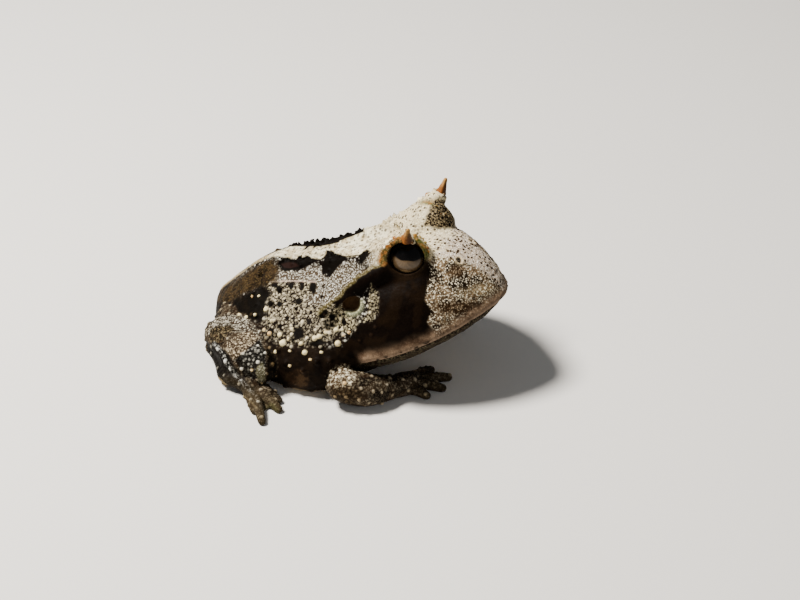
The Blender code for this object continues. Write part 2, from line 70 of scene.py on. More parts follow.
# Places named as in the solids' source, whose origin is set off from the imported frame's.
OFFSET = eye_centre("left") - np.array([16.2, 8.2, 33.4])
JAW_CORNER = np.array([10.8, 0, 11.5]) + OFFSET
HEAD_PITCH = math.radians(28)
MOUTH_DROP = 1.0
MOUTH_TILT = math.radians(3)
HORN_BASE = np.array([16.8, 11.2, 39.6]) + OFFSET
HORN_TIP = np.array([17.7, 12.4, 43.2]) + OFFSET
LID_CONE_FOOT = np.array([13.5, 7.4, 31.0]) + OFFSET
LID_CONE_RADII = (5.7, 1.8)      # at the foot and under the horn
EYE_RADIUS = 4.2
SOCKET_GAP = 0.08                # between the eye and its socket
EYE_OUTWARD = Vector((0.12, 0.93, 0.34)).normalized()
LID_THICKNESS = 0.6
EYE_OPENING = (4.1, 3.75)        # half width and half height between the lids
OPENING_OUTWARD = Vector((0.14, 0.90, 0.42)).normalized()    # a little further up

# The photo's camera, found by matching the solids to the photo.
CAMERA_AZIMUTH = math.radians(21)
CAMERA_ELEVATION = math.radians(33)
CAMERA_TARGET = np.array([17.1, -15.9, 26.5]) + OFFSET
CAMERA_DISTANCE = 424.0
LENS, SENSOR = 85.0, 36.0
PHOTO_WIDTH, PHOTO_HEIGHT = 800, 600


def srgb(red, green, blue):
    """A screen colour of 0 to 255 as the linear numbers that shaders take."""
    shares = [value / 255 for value in (red, green, blue)]
    return np.array([s / 12.92 if s <= 0.04045 else ((s + 0.055) / 1.055) ** 2.4 for s in shares])


CREAM = srgb(216, 202, 162)
CREAM_LIGHT = srgb(232, 222, 190)
BAND_END = srgb(128, 110, 76)
GREY_WHITE = srgb(206, 202, 188)
# BROWN and FLANK_BROWN are darker than the skin's own browns: they carry painted shade of the lower body
# and the limbs.
BROWN = srgb(28, 18, 10)
FLANK_BROWN = srgb(12, 7, 4)
# The cheek's browns are its own dark brown darkened further as painted shade under the eye and the fold
# above it.
CHEEK_DARK_AND_SHADE = srgb(8, 4, 2)
CHEEK_STREAK = srgb(18, 10, 4)
# The chin's colour is painted shade on the lower jaw, under the overhanging upper lip.
CHIN_SHADE = srgb(20, 13, 8)
BLACK = srgb(7, 5, 3)
OCHRE = srgb(38, 28, 15)
BELLY = srgb(176, 156, 122)


# Small helpers on arrays of points.

def ramp(low, high, x):
    """0 before low, 1 past high, and smooth between them."""
    t = np.clip((x - low) / (high - low), 0, 1)
    return t * t * (3 - 2 * t)


def bell(distance, width):
    return np.exp(-((distance / width) ** 2))


def unit(vectors):
    return vectors / np.maximum(np.linalg.norm(vectors, axis=-1, keepdims=True), 1e-12)


def lattice_value(cells, seed):
    """A repeatable random number from 0 to 1 for each whole-number cell."""
    mixed = (cells[..., 0] * 73856093) ^ (cells[..., 1] * 19349663) ^ (cells[..., 2] * 83492791)
    mixed = mixed ^ (seed * 2654435761)
    mixed = (mixed ^ (mixed >> 13)) * 1274126177
    return ((mixed ^ (mixed >> 16)) & 0xFFFFFF) / 0xFFFFFF


def noise(points, size, seed):
    """Smooth noise from 0 to 1 with features of a size."""
    scaled = points / size
    base = np.floor(scaled).astype(np.int64)
    part = scaled - base
    part = part * part * (3 - 2 * part)
    total = np.zeros(len(points))
    for corner in np.ndindex(2, 2, 2):
        weight = np.prod(np.where(corner, part, 1 - part), axis=1)
        total += weight * lattice_value(base + np.array(corner), seed)
    return total


def rough_noise(points, size, seed):
    """Noise of three octaves, from 0 to 1."""
    return (noise(points, size, seed) * 4 + noise(points, size / 2, seed + 1) * 2
            + noise(points, size / 4, seed + 2)) / 7


# The photo's view, and the frames of the head and of the mouth.

def camera_axes():
    """Unit vectors to the right, up and back towards the camera."""
    a, e = CAMERA_AZIMUTH, CAMERA_ELEVATION
    right = np.array([math.cos(a), math.sin(a), 0])
    back = np.array([math.sin(a) * math.cos(e), -math.cos(a) * math.cos(e), math.sin(e)])
    return right, np.cross(back, right), back


def photo_place(points, side=-1):
    """Where points, brought to the near side or to the far one, fall in the photo, in pixels."""
    right, up, back = camera_axes()
    reach = np.column_stack([points[:, 0], side * np.abs(points[:, 1]), points[:, 2]]) - CAMERA_TARGET
    scale = LENS / SENSOR * PHOTO_WIDTH / (CAMERA_DISTANCE - reach @ back)
    return np.column_stack([PHOTO_WIDTH / 2 + scale * (reach @ right),
                            PHOTO_HEIGHT / 2 - scale * (reach @ up)])


def ray_to_photo(x, y):
    """The camera's place and the direction through a pixel."""
    right, up, back = camera_axes()
    start = CAMERA_TARGET + back * CAMERA_DISTANCE
    across = (x - PHOTO_WIDTH / 2) * SENSOR / LENS / PHOTO_WIDTH
    rise = (PHOTO_HEIGHT / 2 - y) * SENSOR / LENS / PHOTO_WIDTH
    return start, unit(right * across + up * rise - back)


def head_place(points):
    """Points in the head's frame: along, side, up."""
    c, s = math.cos(HEAD_PITCH), math.sin(HEAD_PITCH)
    reach = points - JAW_CORNER
    return np.column_stack([reach[:, 0] * c + reach[:, 2] * s, reach[:, 1],
                            reach[:, 2] * c - reach[:, 0] * s])


def mouth_place(head):
    """How far along the mouth points of the head's frame are, and how high above its line."""
    c, s = math.cos(MOUTH_TILT), math.sin(MOUTH_TILT)
    up = head[:, 2] + MOUTH_DROP
    return head[:, 0] * c - up * s, head[:, 0] * s + up * c


def on_side(vector, side):
    return Vector((vector[0], side * vector[1], vector[2]))


def facing(direction):
    """A turn that brings +Z onto a direction and keeps +X level."""
    direction = Vector(direction).normalized()
    level = Vector((0, 0, 1)).cross(direction).normalized()
    return Matrix((level, direction.cross(level), direction)).transposed().to_4x4()


# Meshes.

def link(name, data):
    thing = bpy.data.objects.new(name, data)
    bpy.context.scene.collection.objects.link(thing)
    return thing


def to_object(name, bm):
    mesh = bpy.data.meshes.new(name)
    bm.to_mesh(mesh)
    bm.free()
    return link(name, mesh)


def apply_modifiers(thing):
    graph = bpy.context.evaluated_depsgraph_get()
    mesh = bpy.data.meshes.new_from_object(thing.evaluated_get(graph))
    old = thing.data
    thing.modifiers.clear()
    thing.data = mesh
    bpy.data.meshes.remove(old)


def remesh(thing):
    modifier = thing.modifiers.new("remesh", "REMESH")
    modifier.mode = "VOXEL"
    modifier.voxel_size = VOXEL * MM
    apply_modifiers(thing)


def join(thing, others):
    """Adds the meshes of other objects to a thing's and removes them."""
    whole = bmesh.new()
    whole.from_mesh(thing.data)
    for other in others:
        whole.from_mesh(other.data)
        bpy.data.objects.remove(other)
    whole.to_mesh(thing.data)
    whole.free()


def cut(thing, cutter):
    modifier = thing.modifiers.new("cut", "BOOLEAN")
    modifier.operation = "DIFFERENCE"
    modifier.solver = "MANIFOLD"
    modifier.object = cutter
    apply_modifiers(thing)
    bpy.data.objects.remove(cutter)


def rows_of(data, name, width, kind=float):
    """One property of a mesh's points or edges, with a row for each."""
    flat = np.empty(len(data) * width, dtype=kind)
    data.foreach_get(name, flat)
    return flat.reshape(-1, width)


def points_of(mesh):
    """The mesh's points in millimetres."""
    return rows_of(mesh.vertices, "co", 3) / MM


def put_points(mesh, points):
    mesh.vertices.foreach_set("co", (points * MM).ravel())
    mesh.update()


def edges_of(mesh):
    return rows_of(mesh.edges, "vertices", 2, np.int64)


def neighbour_mean(values, edges):
    """Each point's mean of its neighbours' values."""
    count = np.bincount(edges.ravel(), minlength=len(values))
    means = [np.bincount(edges[:, 0], values[edges[:, 1], k], len(values))
             + np.bincount(edges[:, 1], values[edges[:, 0], k], len(values))
             for k in range(values.shape[1])]
    return np.column_stack(means) / np.maximum(count, 1)[:, None]


def ease(thing, rounds, back_step):
    """Remeshes a thing and smooths its facets away, each round stepping in and back out."""
    remesh(thing)
    points, edges = points_of(thing.data), edges_of(thing.data)
    for _ in range(rounds):
        points = points + 0.5 * (neighbour_mean(points, edges) - points)
        points = points - back_step * (neighbour_mean(points, edges) - points)
    put_points(thing.data, points)


def shape(name, create, place=Matrix(), **sizes):
    """A new object from one of bmesh's own shapes."""
    bm = bmesh.new()
    create(bm, **sizes)
    bm.transform(place)
    return to_object(name, bm)


def ball(centre, radius):
    return shape("ball", bmesh.ops.create_uvsphere, Matrix.Translation(Vector(centre) * MM),
                 u_segments=64, v_segments=40, radius=radius * MM)


def cone(foot, top, radii):
    return shape("cone", bmesh.ops.create_cone,
                 Matrix.Translation((foot + top) / 2 * MM) @ facing(top - foot), cap_ends=True,
                 segments=64, radius1=radii[0] * MM, radius2=radii[1] * MM,
                 depth=(top - foot).length * MM)


def tree_of(places):
    """A tree that finds the place nearest to a point."""
    tree = KDTree(len(places))
    for k, place in enumerate(places):
        tree.insert(place, k)
    tree.balance()
    return tree


# The skin's form.

LIMB_WORDS = ("upper", "forearm", "hand", "thigh", "shank", "foot")


def flesh_nodes():
    return [name for name in sorted(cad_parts) if not name.startswith(("eye_", "horn_"))]


def grown_flesh():
    """All nodes of flesh in one mesh, each grown a little so that the thin cuts close."""
    pieces = []
    for name in flesh_nodes():
        part = bmesh.new()
        part.from_mesh(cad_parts[name].data)
        bmesh.ops.remove_doubles(part, verts=part.verts, dist=1e-6)
        part.normal_update()
        for vert in part.verts:
            vert.co += vert.normal * SEAM_CLOSE * MM
        pieces.append(to_object("piece", part))
    pieces += [ball(eye_centre(word), EYE_RADIUS + LID_THICKNESS) for word in SIDES]
    skin = pieces.pop(0)
    skin.name = "skin"
    join(skin, pieces)
    return skin


def cut_eyelids(skin):
    """The sockets, and the openings between the lids."""
    width, height = (half * MM for half in EYE_OPENING)
    for word, side in SIDES.items():
        centre = eye_centre(word)
        cut(skin, ball(centre, EYE_RADIUS + SOCKET_GAP))
        outward = on_side(OPENING_OUTWARD, side)
        middle = Matrix.Translation(Vector(centre) * MM + outward * EYE_RADIUS * 1.2 * MM)
        cut(skin, shape("opening", bmesh.ops.create_cone,
                        middle @ facing(outward) @ Matrix.Diagonal((width, height, 1, 1)),
                        cap_ends=True, segments=64, radius1=1, radius2=1,
                        depth=EYE_RADIUS * 2.4 * MM))


def make_skin():
    thing = grown_flesh()
    ease(thing, 45, 0.51)
    join(thing, [cone(on_side(LID_CONE_FOOT, side), on_side(HORN_BASE, side), LID_CONE_RADII)
                 for side in SIDES.values()])
    ease(thing, 14, 0.5)
    cut_eyelids(thing)
    ease(thing, 3, 0.4)
    return Skin(thing)


class Skin:
    """The skin's points in millimetres, its normals, and what is worked out from them."""

    def __init__(self, thing):
        self.thing = thing
        self.edges = edges_of(thing.data)
        self.read()
        self.limbs = self.limb_share()

    def read(self):
        self.points = points_of(self.thing.data)
        self.normals = rows_of(self.thing.data.vertex_normals, "vector", 3)
        self.photo = photo_place(self.points)
        self.across, self.down = self.photo.T
        self.far_photo = photo_place(self.points, side=1)
        self.head = head_place(self.points)
        self.along_mouth, self.over_mouth = mouth_place(self.head)

    def write(self, points):
        put_points(self.thing.data, points)
        self.read()

    def push(self, amount):
        """Moves each point along its normal."""
        self.write(self.points + self.normals * amount[:, None])

    def limb_share(self):
        """1 on arms and legs, 0 on head and torso."""
        places, labels = [], []
        for name in flesh_nodes():
            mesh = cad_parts[name].data
            found = [v.co / MM for v in mesh.vertices] + [p.center / MM for p in mesh.polygons]
            places += found
            labels += [float(name.split("_")[0] in LIMB_WORDS)] * len(found)
        tree = tree_of(places)
        share = np.array([labels[tree.find(p)[1]] for p in self.points])
        for _ in range(6):
            share = 0.5 * share + 0.5 * neighbour_mean(share[:, None], self.edges)[:, 0]
        return share

    def spots(self, places):
        """The points of the skin that show at some pixels of the photo."""
        surface = BVHTree.FromPolygons([tuple(p) for p in self.points],
                                       [tuple(p.vertices) for p in self.thing.data.polygons])
        found = []
        for x, y in places:
            start, direction = ray_to_photo(x, y)
            spot, _, _, _ = surface.ray_cast(Vector(start), Vector(direction))
            found.append(np.array(spot))
        return found

    def distance(self, spot):
        """The distance of each point from a spot or from its twin on the other side."""
        twin = spot * np.array([1, -1, 1])
        return np.minimum(np.linalg.norm(self.points - spot, axis=1),
                          np.linalg.norm(self.points - twin, axis=1))


# The mouth, nostrils, eardrums and folds.

MOUTH_CORNER_ALONG = -1.5
MOUTH_PROFILE = (  # height, middle above the mouth's line, width
    (-0.7, 0, 0.26), (0.42, 1.3, 0.8), (0.1, -0.9, 0.5), (-0.14, 3.2, 0.7),
)
NOSTRIL_PHOTO = (458.3, 261.2)
EARDRUM_PHOTO = (352.5, 303.5)
EARDRUM_RADIUS = 2.2
HEEL_PHOTO = (226, 377)
HEEL_REACH = (13.0, 14.0)        # along the sole and across it, in pixels
HEEL_BACK, HEEL_OUT = 0.6, 2.0
FOLDS_FROM_EYE, WARTS_FROM_EYE = (5.2, 7.0), (5.2, 6.2)    # none and whole, from the eye's middle
FOLDS_FROM_FLOOR, WARTS_FROM_FLOOR = (0.3, 2.0), (0.8, 2.5)
FLOOR_GAP = 0.02                 # how far the skin stays above the floor


def mouth_reach(skin):
    """1 along the mouth from corner to corner, fading out behind the corners."""
    return ramp(MOUTH_CORNER_ALONG - 1.5, MOUTH_CORNER_ALONG + 1.0, skin.along_mouth)


def sculpt_mouth(skin):
    """The closed line of the mouth, the two lips and the dip over the upper one."""
    over = skin.over_mouth
    profile = sum(height * bell(over - middle, width) for height, middle, width in MOUTH_PROFILE)
    skin.push(mouth_reach(skin) * profile)


def sculpt_nostrils(skin, spot):
    """A small hole with a raised rim."""
    distance = skin.distance(spot)
    skin.push(0.3 * bell(distance - 1.0, 0.38) - 1.0 * bell(distance, 0.55))


def sculpt_eardrums(skin, spot):
    """A sunken disc with a raised rim."""
    distance = skin.distance(spot)
    rim = 0.34 * bell(distance - EARDRUM_RADIUS - 0.25, 0.4)
    dish = -0.3 * ramp(EARDRUM_RADIUS, EARDRUM_RADIUS - 0.5, distance)
    skin.push(rim + dish)


def sculpt_heels(skin):
    """Fills out the heels, which bulge behind the shanks."""
    across, down = (skin.photo - np.array(HEEL_PHOTO)).T
    along_sole, off_sole = (across + down) / math.sqrt(2), (down - across) / math.sqrt(2)
    share = skin.limbs * bell(np.hypot(along_sole / HEEL_REACH[0], off_sole / HEEL_REACH[1]), 1.0)
    outward = np.sign(skin.points[:, 1])
    move = np.column_stack([-HEEL_BACK * share, HEEL_OUT * share * outward, np.zeros(len(share))])
    skin.write(skin.points + move)


def sculpt_folds(skin):
    """Low swellings and creases, so that no stretch of skin is machine smooth."""
    swell = (rough_noise(skin.points, 5.0, 3) - 0.5) * 0.6
    fine = (rough_noise(skin.points, 1.3, 8) - 0.5) * 0.2
    clear_of_eyes = ramp(*FOLDS_FROM_EYE, skin.distance(eye_centre("right")))
    off_floor = ramp(*FOLDS_FROM_FLOOR, skin.points[:, 2])
    skin.push(clear_of_eyes * off_floor * (swell * (1 - 0.6 * skin.limbs) + fine))


# Warts of all sizes. The places are pixels of the photo.

BIG_WARTS = (  # x, y, radius
    (283, 343, 1.05), (279.8, 335, 0.75), (289, 339, 0.6), (301.6, 343.7, 0.65), (305, 352.3, 0.8),
    (315, 338.5, 0.8), (319.5, 336.5, 0.8), (325.7, 332.2, 0.7), (336, 329.9, 0.75),
    (338.3, 343.7, 0.9), (321, 352.3, 0.45), (275.8, 352.3, 0.55), (289.5, 351, 0.4),
    (266, 309.2, 0.8), (239.6, 315, 0.5), (246, 316.7, 0.55), (254.5, 315, 0.5), (252.2, 296.4, 0.4),
    (258.5, 295.7, 0.4), (269.5, 333.9, 0.7), (264.3, 330, 0.5), (310.2, 359.7, 0.4),
    (289.5, 366, 0.45), (251.7, 370, 0.4), (261.4, 382.7, 0.45), (344.7, 383.2, 0.6),
    (344, 335.6, 0.45), (349.3, 332, 0.5), (272, 321, 0.6), (292, 329, 0.55),
)
BIG_TALL, RIM_TALL = 0.8, 0.75   # heights as shares of the radius
SCATTERED = {  # share of the points tried, spacing, seed, radii, heights
    "granules": (0.08, 0.74, 21, (0.24, 0.44), (0.12, 0.24)),
    "grit": (0.5, 0.72, 23, (0.3, 0.42), (0.06, 0.14)),
    "knobs": (0.012, 2.2, 22, (0.5, 0.8), (0.25, 0.45)),
}
LIMB_GRANULES = 0.375            # how many the limbs get for each one of the flanks
SPIKE_RADIUS = 0.62
ROW_SPIKES = (  # x, y, height, along the tops of the black patches
    (279, 263, 0.5), (283, 260.5, 0.6), (287.3, 258.5, 0.8), (292, 259.5, 0.6), (296, 260.5, 0.5),
    (300, 256.5, 1.0), (304, 257.5, 0.7), (308, 256.5, 0.9), (312, 258.2, 0.6), (316, 259.5, 0.4),
    (327, 252.5, 0.9), (331.5, 252, 0.9), (335.5, 254, 0.8), (340, 255.5, 0.7), (345, 257.2, 0.5),
    (360, 255.5, 0.6), (364, 252.5, 0.8), (368, 250.5, 0.9), (370, 253, 0.5),
    (292, 264, 0.4), (301, 265, 0.4), (310, 262, 0.4), (330, 261, 0.4), (329, 270, 0.35),
)
PALE_RIM = (  # x, y, radius, the pale tubercles at the back of the upper lid's edge
    (384.5, 247, 0.5), (387.5, 243, 0.85), (391, 239.5, 0.62),
)
BROWN_RIM = (  # and the brown ones over its middle and front
    (395, 238, 0.72), (398.8, 238, 0.55), (402.5, 236.5, 0.5), (414.5, 236, 0.85),
    (419.5, 237.5, 0.62), (422.8, 239.5, 0.55), (425.2, 243, 0.62), (427.4, 247.5, 0.45),
    (428.5, 252, 0.42), (410.5, 238, 0.5), (417, 240, 0.4),
)


def scatter(skin, likely, spacing, seed):
    """Spots spread over the skin, no two closer than the spacing, more where it is likely."""
    draw = np.random.default_rng(seed)
    candidates = np.flatnonzero(draw.random(len(skin.points)) < likely)
    draw.shuffle(candidates)
    taken, chosen = {}, []
    steps = [(i, j, k) for i in (-1, 0, 1) for j in (-1, 0, 1) for k in (-1, 0, 1)]
    for index in candidates:
        point = skin.points[index]
        cell = tuple(int(value // spacing) for value in point)
        nearby = (taken.get((cell[0] + i, cell[1] + j, cell[2] + k)) for i, j, k in steps)
        if any(other is not None and np.linalg.norm(other - point) < spacing for other in nearby):
            continue
        taken[cell] = point
        chosen.append(index)
    return chosen


def raise_warts(skin, spots, tree, pointed=False):
    """Raises a wart at each (index, radius, height). Returns how much each point is on one."""
    lift = np.zeros(len(skin.points))
    share = np.zeros(len(skin.points))
    for index, radius, height in spots:
        for _, k, distance in tree.find_range(skin.points[index], radius):
            near = distance / radius
            shape = (1 - near) ** 1.2 if pointed else (1 - near * near) ** 1.6
            lift[k] = max(lift[k], height * shape)
            share[k] = max(share[k], shape)
    skin.push(lift)
    return share


def both_sides(tree, spot):
    """The skin's nearest points to a spot and to its twin."""
    return [tree.find(Vector(place))[1] for place in (spot, spot * np.array([1, -1, 1]))]


def at_spots(tree, spots, listed, tall):
    """The warts of a list with their places, one on each side, as (index, radius, height)."""
    return [(k, radius, radius * tall) for spot, (_, _, radius) in zip(spots, listed)
            for k in both_sides(tree, spot)]


def scatter_warts(skin, tree, draw, kind, places):
    chance, spacing, seed, radii, heights = SCATTERED[kind]
    spots = scatter(skin, chance * places, spacing, seed)
    return raise_warts(skin, [(k, draw.uniform(*radii), draw.uniform(*heights)) for k in spots], tree)


def grainy_share(skin):
    """1 where the flank's granules stand up from the skin."""
    grainy = np.maximum(patch(skin, MID_FIELD, 4, 4), patch(skin, PALE_TRIANGLE))
    grainy = np.maximum(grainy, patch(skin, BEHIND_DRUM)) * (1 - patch(skin, PALE_FIELD))
    grainy = grainy * (1 - patch(skin, BEHIND_EYE))
    for spot in DARK_SPOTS:
        grainy = grainy * (1 - oval(skin, *spot))
    return grainy


def sculpt_warts(skin, big_spots, pale_rim_spots, brown_rim_spots, row_spots):
    """Raises all warts, and returns how much each point is on one of each kind."""
    draw = random.Random(5)
    tree = tree_of(skin.points)
    off_floor = ramp(*WARTS_FROM_FLOOR, skin.points[:, 2])
    clear = off_floor * ramp(*WARTS_FROM_EYE, skin.distance(eye_centre("right")))
    field = field_share(skin) * clear
    snout = snout_share(skin) * clear
    limbs = skin.limbs * off_floor
    plain_legs = np.maximum(patch(skin, LEG_DARK, 2.0, 2.0), 0.5 * patch(skin, LEG_BLACK, 1.2, 1.5))
    grainy = field * grainy_share(skin) + LIMB_GRANULES * limbs * (1 - plain_legs)

    shares = {"granules": scatter_warts(skin, tree, draw, "granules", grainy)}
    scatter_warts(skin, tree, draw, "grit", snout)
    shares["knobs"] = scatter_warts(skin, tree, draw, "knobs", lower_flank(skin) * clear + limbs)
    shares["cream"] = raise_warts(skin, at_spots(tree, big_spots, BIG_WARTS, BIG_TALL), tree)
    spikes = [(k, SPIKE_RADIUS, height) for spot, (_, _, height) in zip(row_spots, ROW_SPIKES)
              for k in both_sides(tree, spot)]
    raise_warts(skin, spikes, tree, pointed=True)
    for kind, spots, listed in (("pale_rim", pale_rim_spots, PALE_RIM),
                                ("rim", brown_rim_spots, BROWN_RIM)):
        shares[kind] = raise_warts(skin, at_spots(tree, spots, listed, RIM_TALL), tree)
    return shares


# Markings, laid out on the photo's view of the right side, in its pixels.

TOP_EDGE_X = (195, 205, 215, 229, 240, 250, 264, 273, 280, 287, 300, 322, 327, 338, 347, 359, 369,
              380, 392)
TOP_EDGE_Y = (325, 309, 294, 282.5, 274.5, 266.5, 259, 256.5, 256, 258, 258, 259, 252, 254, 257, 255,
              251, 246, 240)
SNOUT_EDGE_X = (424, 431, 450, 468, 482, 494, 503)
SNOUT_EDGE_Y = (250, 256, 258, 262, 270, 280, 292)
CHEEK = ((380, 264), (388, 262), (394, 270), (406, 275), (420, 272), (428, 262), (430, 275), (426, 290),
         (425, 300), (431, 311), (427, 322), (436, 334), (424, 345), (410, 352), (384, 361), (366, 360),
         (350, 358), (338, 352), (346, 342), (361, 323), (372, 322), (379, 313), (379, 293), (371, 281))
BEHIND_EYE = ((380, 264), (371, 269), (359, 277), (350, 284), (342, 292), (333, 301), (336, 308),
              (344, 303), (346, 298), (354, 294), (363, 298), (367, 291), (371, 281), (380, 293),
              (388, 280))
PALE_FIELD = ((277, 270), (300, 273), (318, 262), (327, 279), (338, 267), (350, 262), (361, 265),
              (372, 254), (386, 250), (388, 262), (371, 269), (359, 277), (344, 290), (338, 298),
              (326, 305), (313, 306), (306, 302), (316, 288), (316, 281), (276, 281))
MID_FIELD = ((262, 282), (276, 270), (316, 276), (330, 280), (340, 297), (360, 315), (356, 330),
             (340, 336), (322, 344), (310, 346), (296, 344), (284, 346), (270, 340), (262, 325),
             (265, 300))
PALE_TRIANGLE = ((371, 283), (379, 293), (379, 313), (371, 324), (360, 322), (367, 312), (368, 300))
BEHIND_DRUM = ((332, 312), (341, 303), (345, 313), (355, 318), (353, 330), (346, 336), (336, 326))
ROW_A = ((278.5, 262), (282, 260), (287.3, 257), (292, 259.5), (295.5, 260.5), (299, 254.5), (303, 258),
         (307.5, 255), (313, 258), (321, 259.5), (311, 264), (301, 269), (293, 270), (284, 271.5),
         (281, 267))
ROW_A_INSIDE = ((281, 264), (288, 262), (296, 263), (299, 266), (292, 268), (284, 268))
ROW_B = ((326.5, 250), (332, 251), (339, 254.5), (347.5, 256.5), (342, 262), (337.5, 267), (334, 272),
         (329.5, 277.5), (326, 273.5), (322, 275), (322, 265), (326, 255))
ROW_C = ((358.5, 255), (363, 252), (367.6, 249), (371, 252.5), (366, 258), (361, 264.5), (359, 258))
ROWS = ((ROW_A, (0, 0)), (ROW_B, (-4, 8)), (ROW_C, (-8, 16)))    # and how the far twins are moved
FAR_ROW_A = ((281, 246.5), (300, 246.5), (320, 246.5), (332, 244.5), (339.5, 242), (339.5, 225),
             (281, 225))
FAR_ROW_B = ((339, 241), (345, 239), (351, 236.8), (357, 234.5), (364, 232), (364, 215), (339, 215))
ROW_THREAD = ((321, 259.7), (327, 255), (347, 256.6), (359, 255))
LOWER_THREAD = ((268, 281.5), (290, 281), (316, 281.5))
RUMP_OCHRE = ((214, 296), (229, 286), (246, 273), (264, 261), (276, 258), (279, 270), (276, 282),
              (262, 286), (246, 295), (232, 304), (222, 308))
RUMP_BLACK = ((262, 286), (270, 292), (266, 304), (266, 316), (256, 322), (240, 318), (214, 318),
              (213, 306), (222, 303), (240, 296))
DARK_SPOTS = (  # x, y, half width, half height
    (274.6, 285, 3.4, 3), (279.2, 289.7, 3.4, 3.4), (291.3, 285.7, 2.4, 4), (302.2, 285, 2.2, 4),
    (313, 287.5, 3, 6), (298.7, 301.2, 4, 3.4), (321.7, 296.6, 2, 1.8), (279.2, 304, 2.6, 2.6),
    (297.6, 312.7, 2.2, 2), (322.8, 312.7, 4.2, 6), (311.4, 312.7, 1.6, 1.6), (298.7, 333.3, 5, 6),
    (318.5, 343, 7, 3.4), (332, 317, 3, 3.4), (280, 326, 2.6, 2.2), (271, 331, 3.4, 3),
    (271, 303.5, 3, 3), (287, 318, 2, 2), (344, 322, 2.4, 3), (264, 295, 4, 5), (309, 322, 2, 2.4),
)
FOLD_EDGE = ((383, 265), (371, 268), (359, 276), (344, 289), (340, 296), (326, 306), (318, 313))
LEG_TOP = ((206, 335), (209, 324), (216, 318), (226, 315), (240, 315), (252, 318), (262, 330), (262, 343),
           (255, 338), (240, 332), (228, 333), (214, 338))
LEG_BAR = ((208, 338), (211, 329), (218, 326), (228, 326), (238, 330), (228, 334), (222, 342), (212, 345))
LEG_TAN = ((225, 346), (229, 340), (243, 332), (251, 330), (260, 339), (250, 347), (240, 356), (233, 359),
           (227, 352))
LEG_BLACK = ((233, 360), (250, 348), (260, 339), (266, 352), (264, 372), (252, 380), (240, 368))
LEG_DARK = ((207, 342), (215, 345), (226, 352), (232, 362), (246, 380), (256, 392), (264, 406),
            (258, 410), (244, 400), (228, 390), (216, 378), (209, 362))
# Painted shadow in the gap between the leg and the belly.
LEG_GAP_SHADOW = ((264, 337), (279, 343), (281, 376), (270, 386), (266, 380), (268, 360))
ELBOW_SHADE = (346, 395, 17, 9)
LEG_DOTS = ((249, 347), (262, 345), (263, 357), (254, 360), (251, 372), (242, 362))
SHANK_RIDGE = ((214, 344), (222, 352), (226, 362), (233, 372), (243, 383), (253, 393), (260, 403),
               (266, 413))
SOLE_LINE = ((217, 377), (232, 390), (248, 399), (257, 408))
KNEE = (261, 373, 4.5, 9.5)
ELBOW = (343, 378, 13, 13)
WEB_PLACE = (272, 411, 7, 7)
BELLY_BLOTCH = (298, 379, 11, 9)
FAR_BAND_SHIFT = 9               # how much lower the band's edge runs over the far shoulder
LID_RIM = ((383, 261), (385, 252), (388.5, 246.5), (393.5, 242), (400, 239.5), (407, 239), (414, 240),
           (421, 243), (425.5, 249), (428, 256))
# The far lid's front, painted dark as painted shade.
FAR_LID_SHADE = ((434, 201), (441, 198), (448, 203), (454, 209), (457, 227), (440, 229), (424, 225),
                (427, 214))

# Where things fade in, none at the first number and whole at the second. In the photo's pixels:
BAND_FRONT_ACROSS, BAND_BACK_ACROSS, FAR_BAND_ACROSS = (400, 385), (284, 258), (312, 340)
SHOULDER_ACROSS, SHOULDER_DOWN = (366, 384), (272, 262)
FACE_ACROSS, SNOUT_TOP_ACROSS, GRIT_ACROSS = (376, 386), (385, 402), (398, 410)
FIELD_ACROSS, FIELD_DOWN = (384, 374), (352, 344)
LOWER_FLANK_DOWN, SPARSE_DOWN, UNDER_FLANK_DOWN = (306, 318), (310, 334), (342, 352)
# In millimetres forward, up or off the middle:
FIELD_FRONT, FIELD_BACK, LEGS_BACK, HANDS_FRONT = (14, 10), (-36, -30), (-3, -6), (19, 23)
LOW_FLANK_UP, BELLY_UP, FEET_OUT = (18, 10), (1.8, 0.4), (27, 32)
# In millimetres in front of the jaw's corner, and over the line of the mouth:
HEAD_ALONG, GRIT_ALONG = (-6, -2), (2, 6)
FACE_OVER, GRIT_OVER, LIP_OVER, LINE_OVER = (-0.3, 0.2), (1.2, 2.4), (4.4, 0.9), (0.36, 0.14)
# In millimetres from the eye's middle:
LIDS_NEAR, SOCKET_SHADE_NEAR, LID_RIM_NEAR, INNER_LID_NEAR = (6.2, 5.2), (4.62, 4.42), (9, 8), (10.5, 8.5)

LEG_PATCHES = (  # look, outline, softness of its edge and how far it wanders
    ("leg top", LEG_TOP, 2, 1.5), ("leg bar", LEG_BAR, 1.2, 1.5), ("leg tan", LEG_TAN, 1.0, 1.2),
    ("leg black", LEG_BLACK, 1.2, 1.5), ("leg gap shadow", LEG_GAP_SHADOW, 1.5, 1.5),
    ("leg dots", LEG_DOTS, 1.2, 1.5), ("leg dark", LEG_DARK, 2.0, 2.0),
)
SNOUT_PATCHES = (  # look, and the ovals it fills, each with its strength
    ("snout light", (((482, 290, 13, 6), 1.0), ((462, 294, 7, 6), 0.6))),
    ("snout brown", (((462, 308, 26, 6.5), 0.8), ((457, 271, 8, 7), 0.75))),
)
CHEEK_STREAKS = (  # line, half width, how far it wanders, strength
    (((402, 276), (396, 300), (390, 322)), 6, 2, 0.8),
    (((423, 288), (419, 305), (416, 325)), 4, 2, 0.7),
)


def line_distance(photo, line):
    """The distance in pixels to a line of straight runs."""
    px, py = photo[:, 0], photo[:, 1]
    distance = np.full(len(photo), np.inf)
    for (ax, ay), (bx, by) in zip(line, line[1:]):
        ex, ey = bx - ax, by - ay
        t = np.clip(((px - ax) * ex + (py - ay) * ey) / (ex * ex + ey * ey), 0, 1)
        distance = np.minimum(distance, np.hypot(px - ax - t * ex, py - ay - t * ey))
    return distance


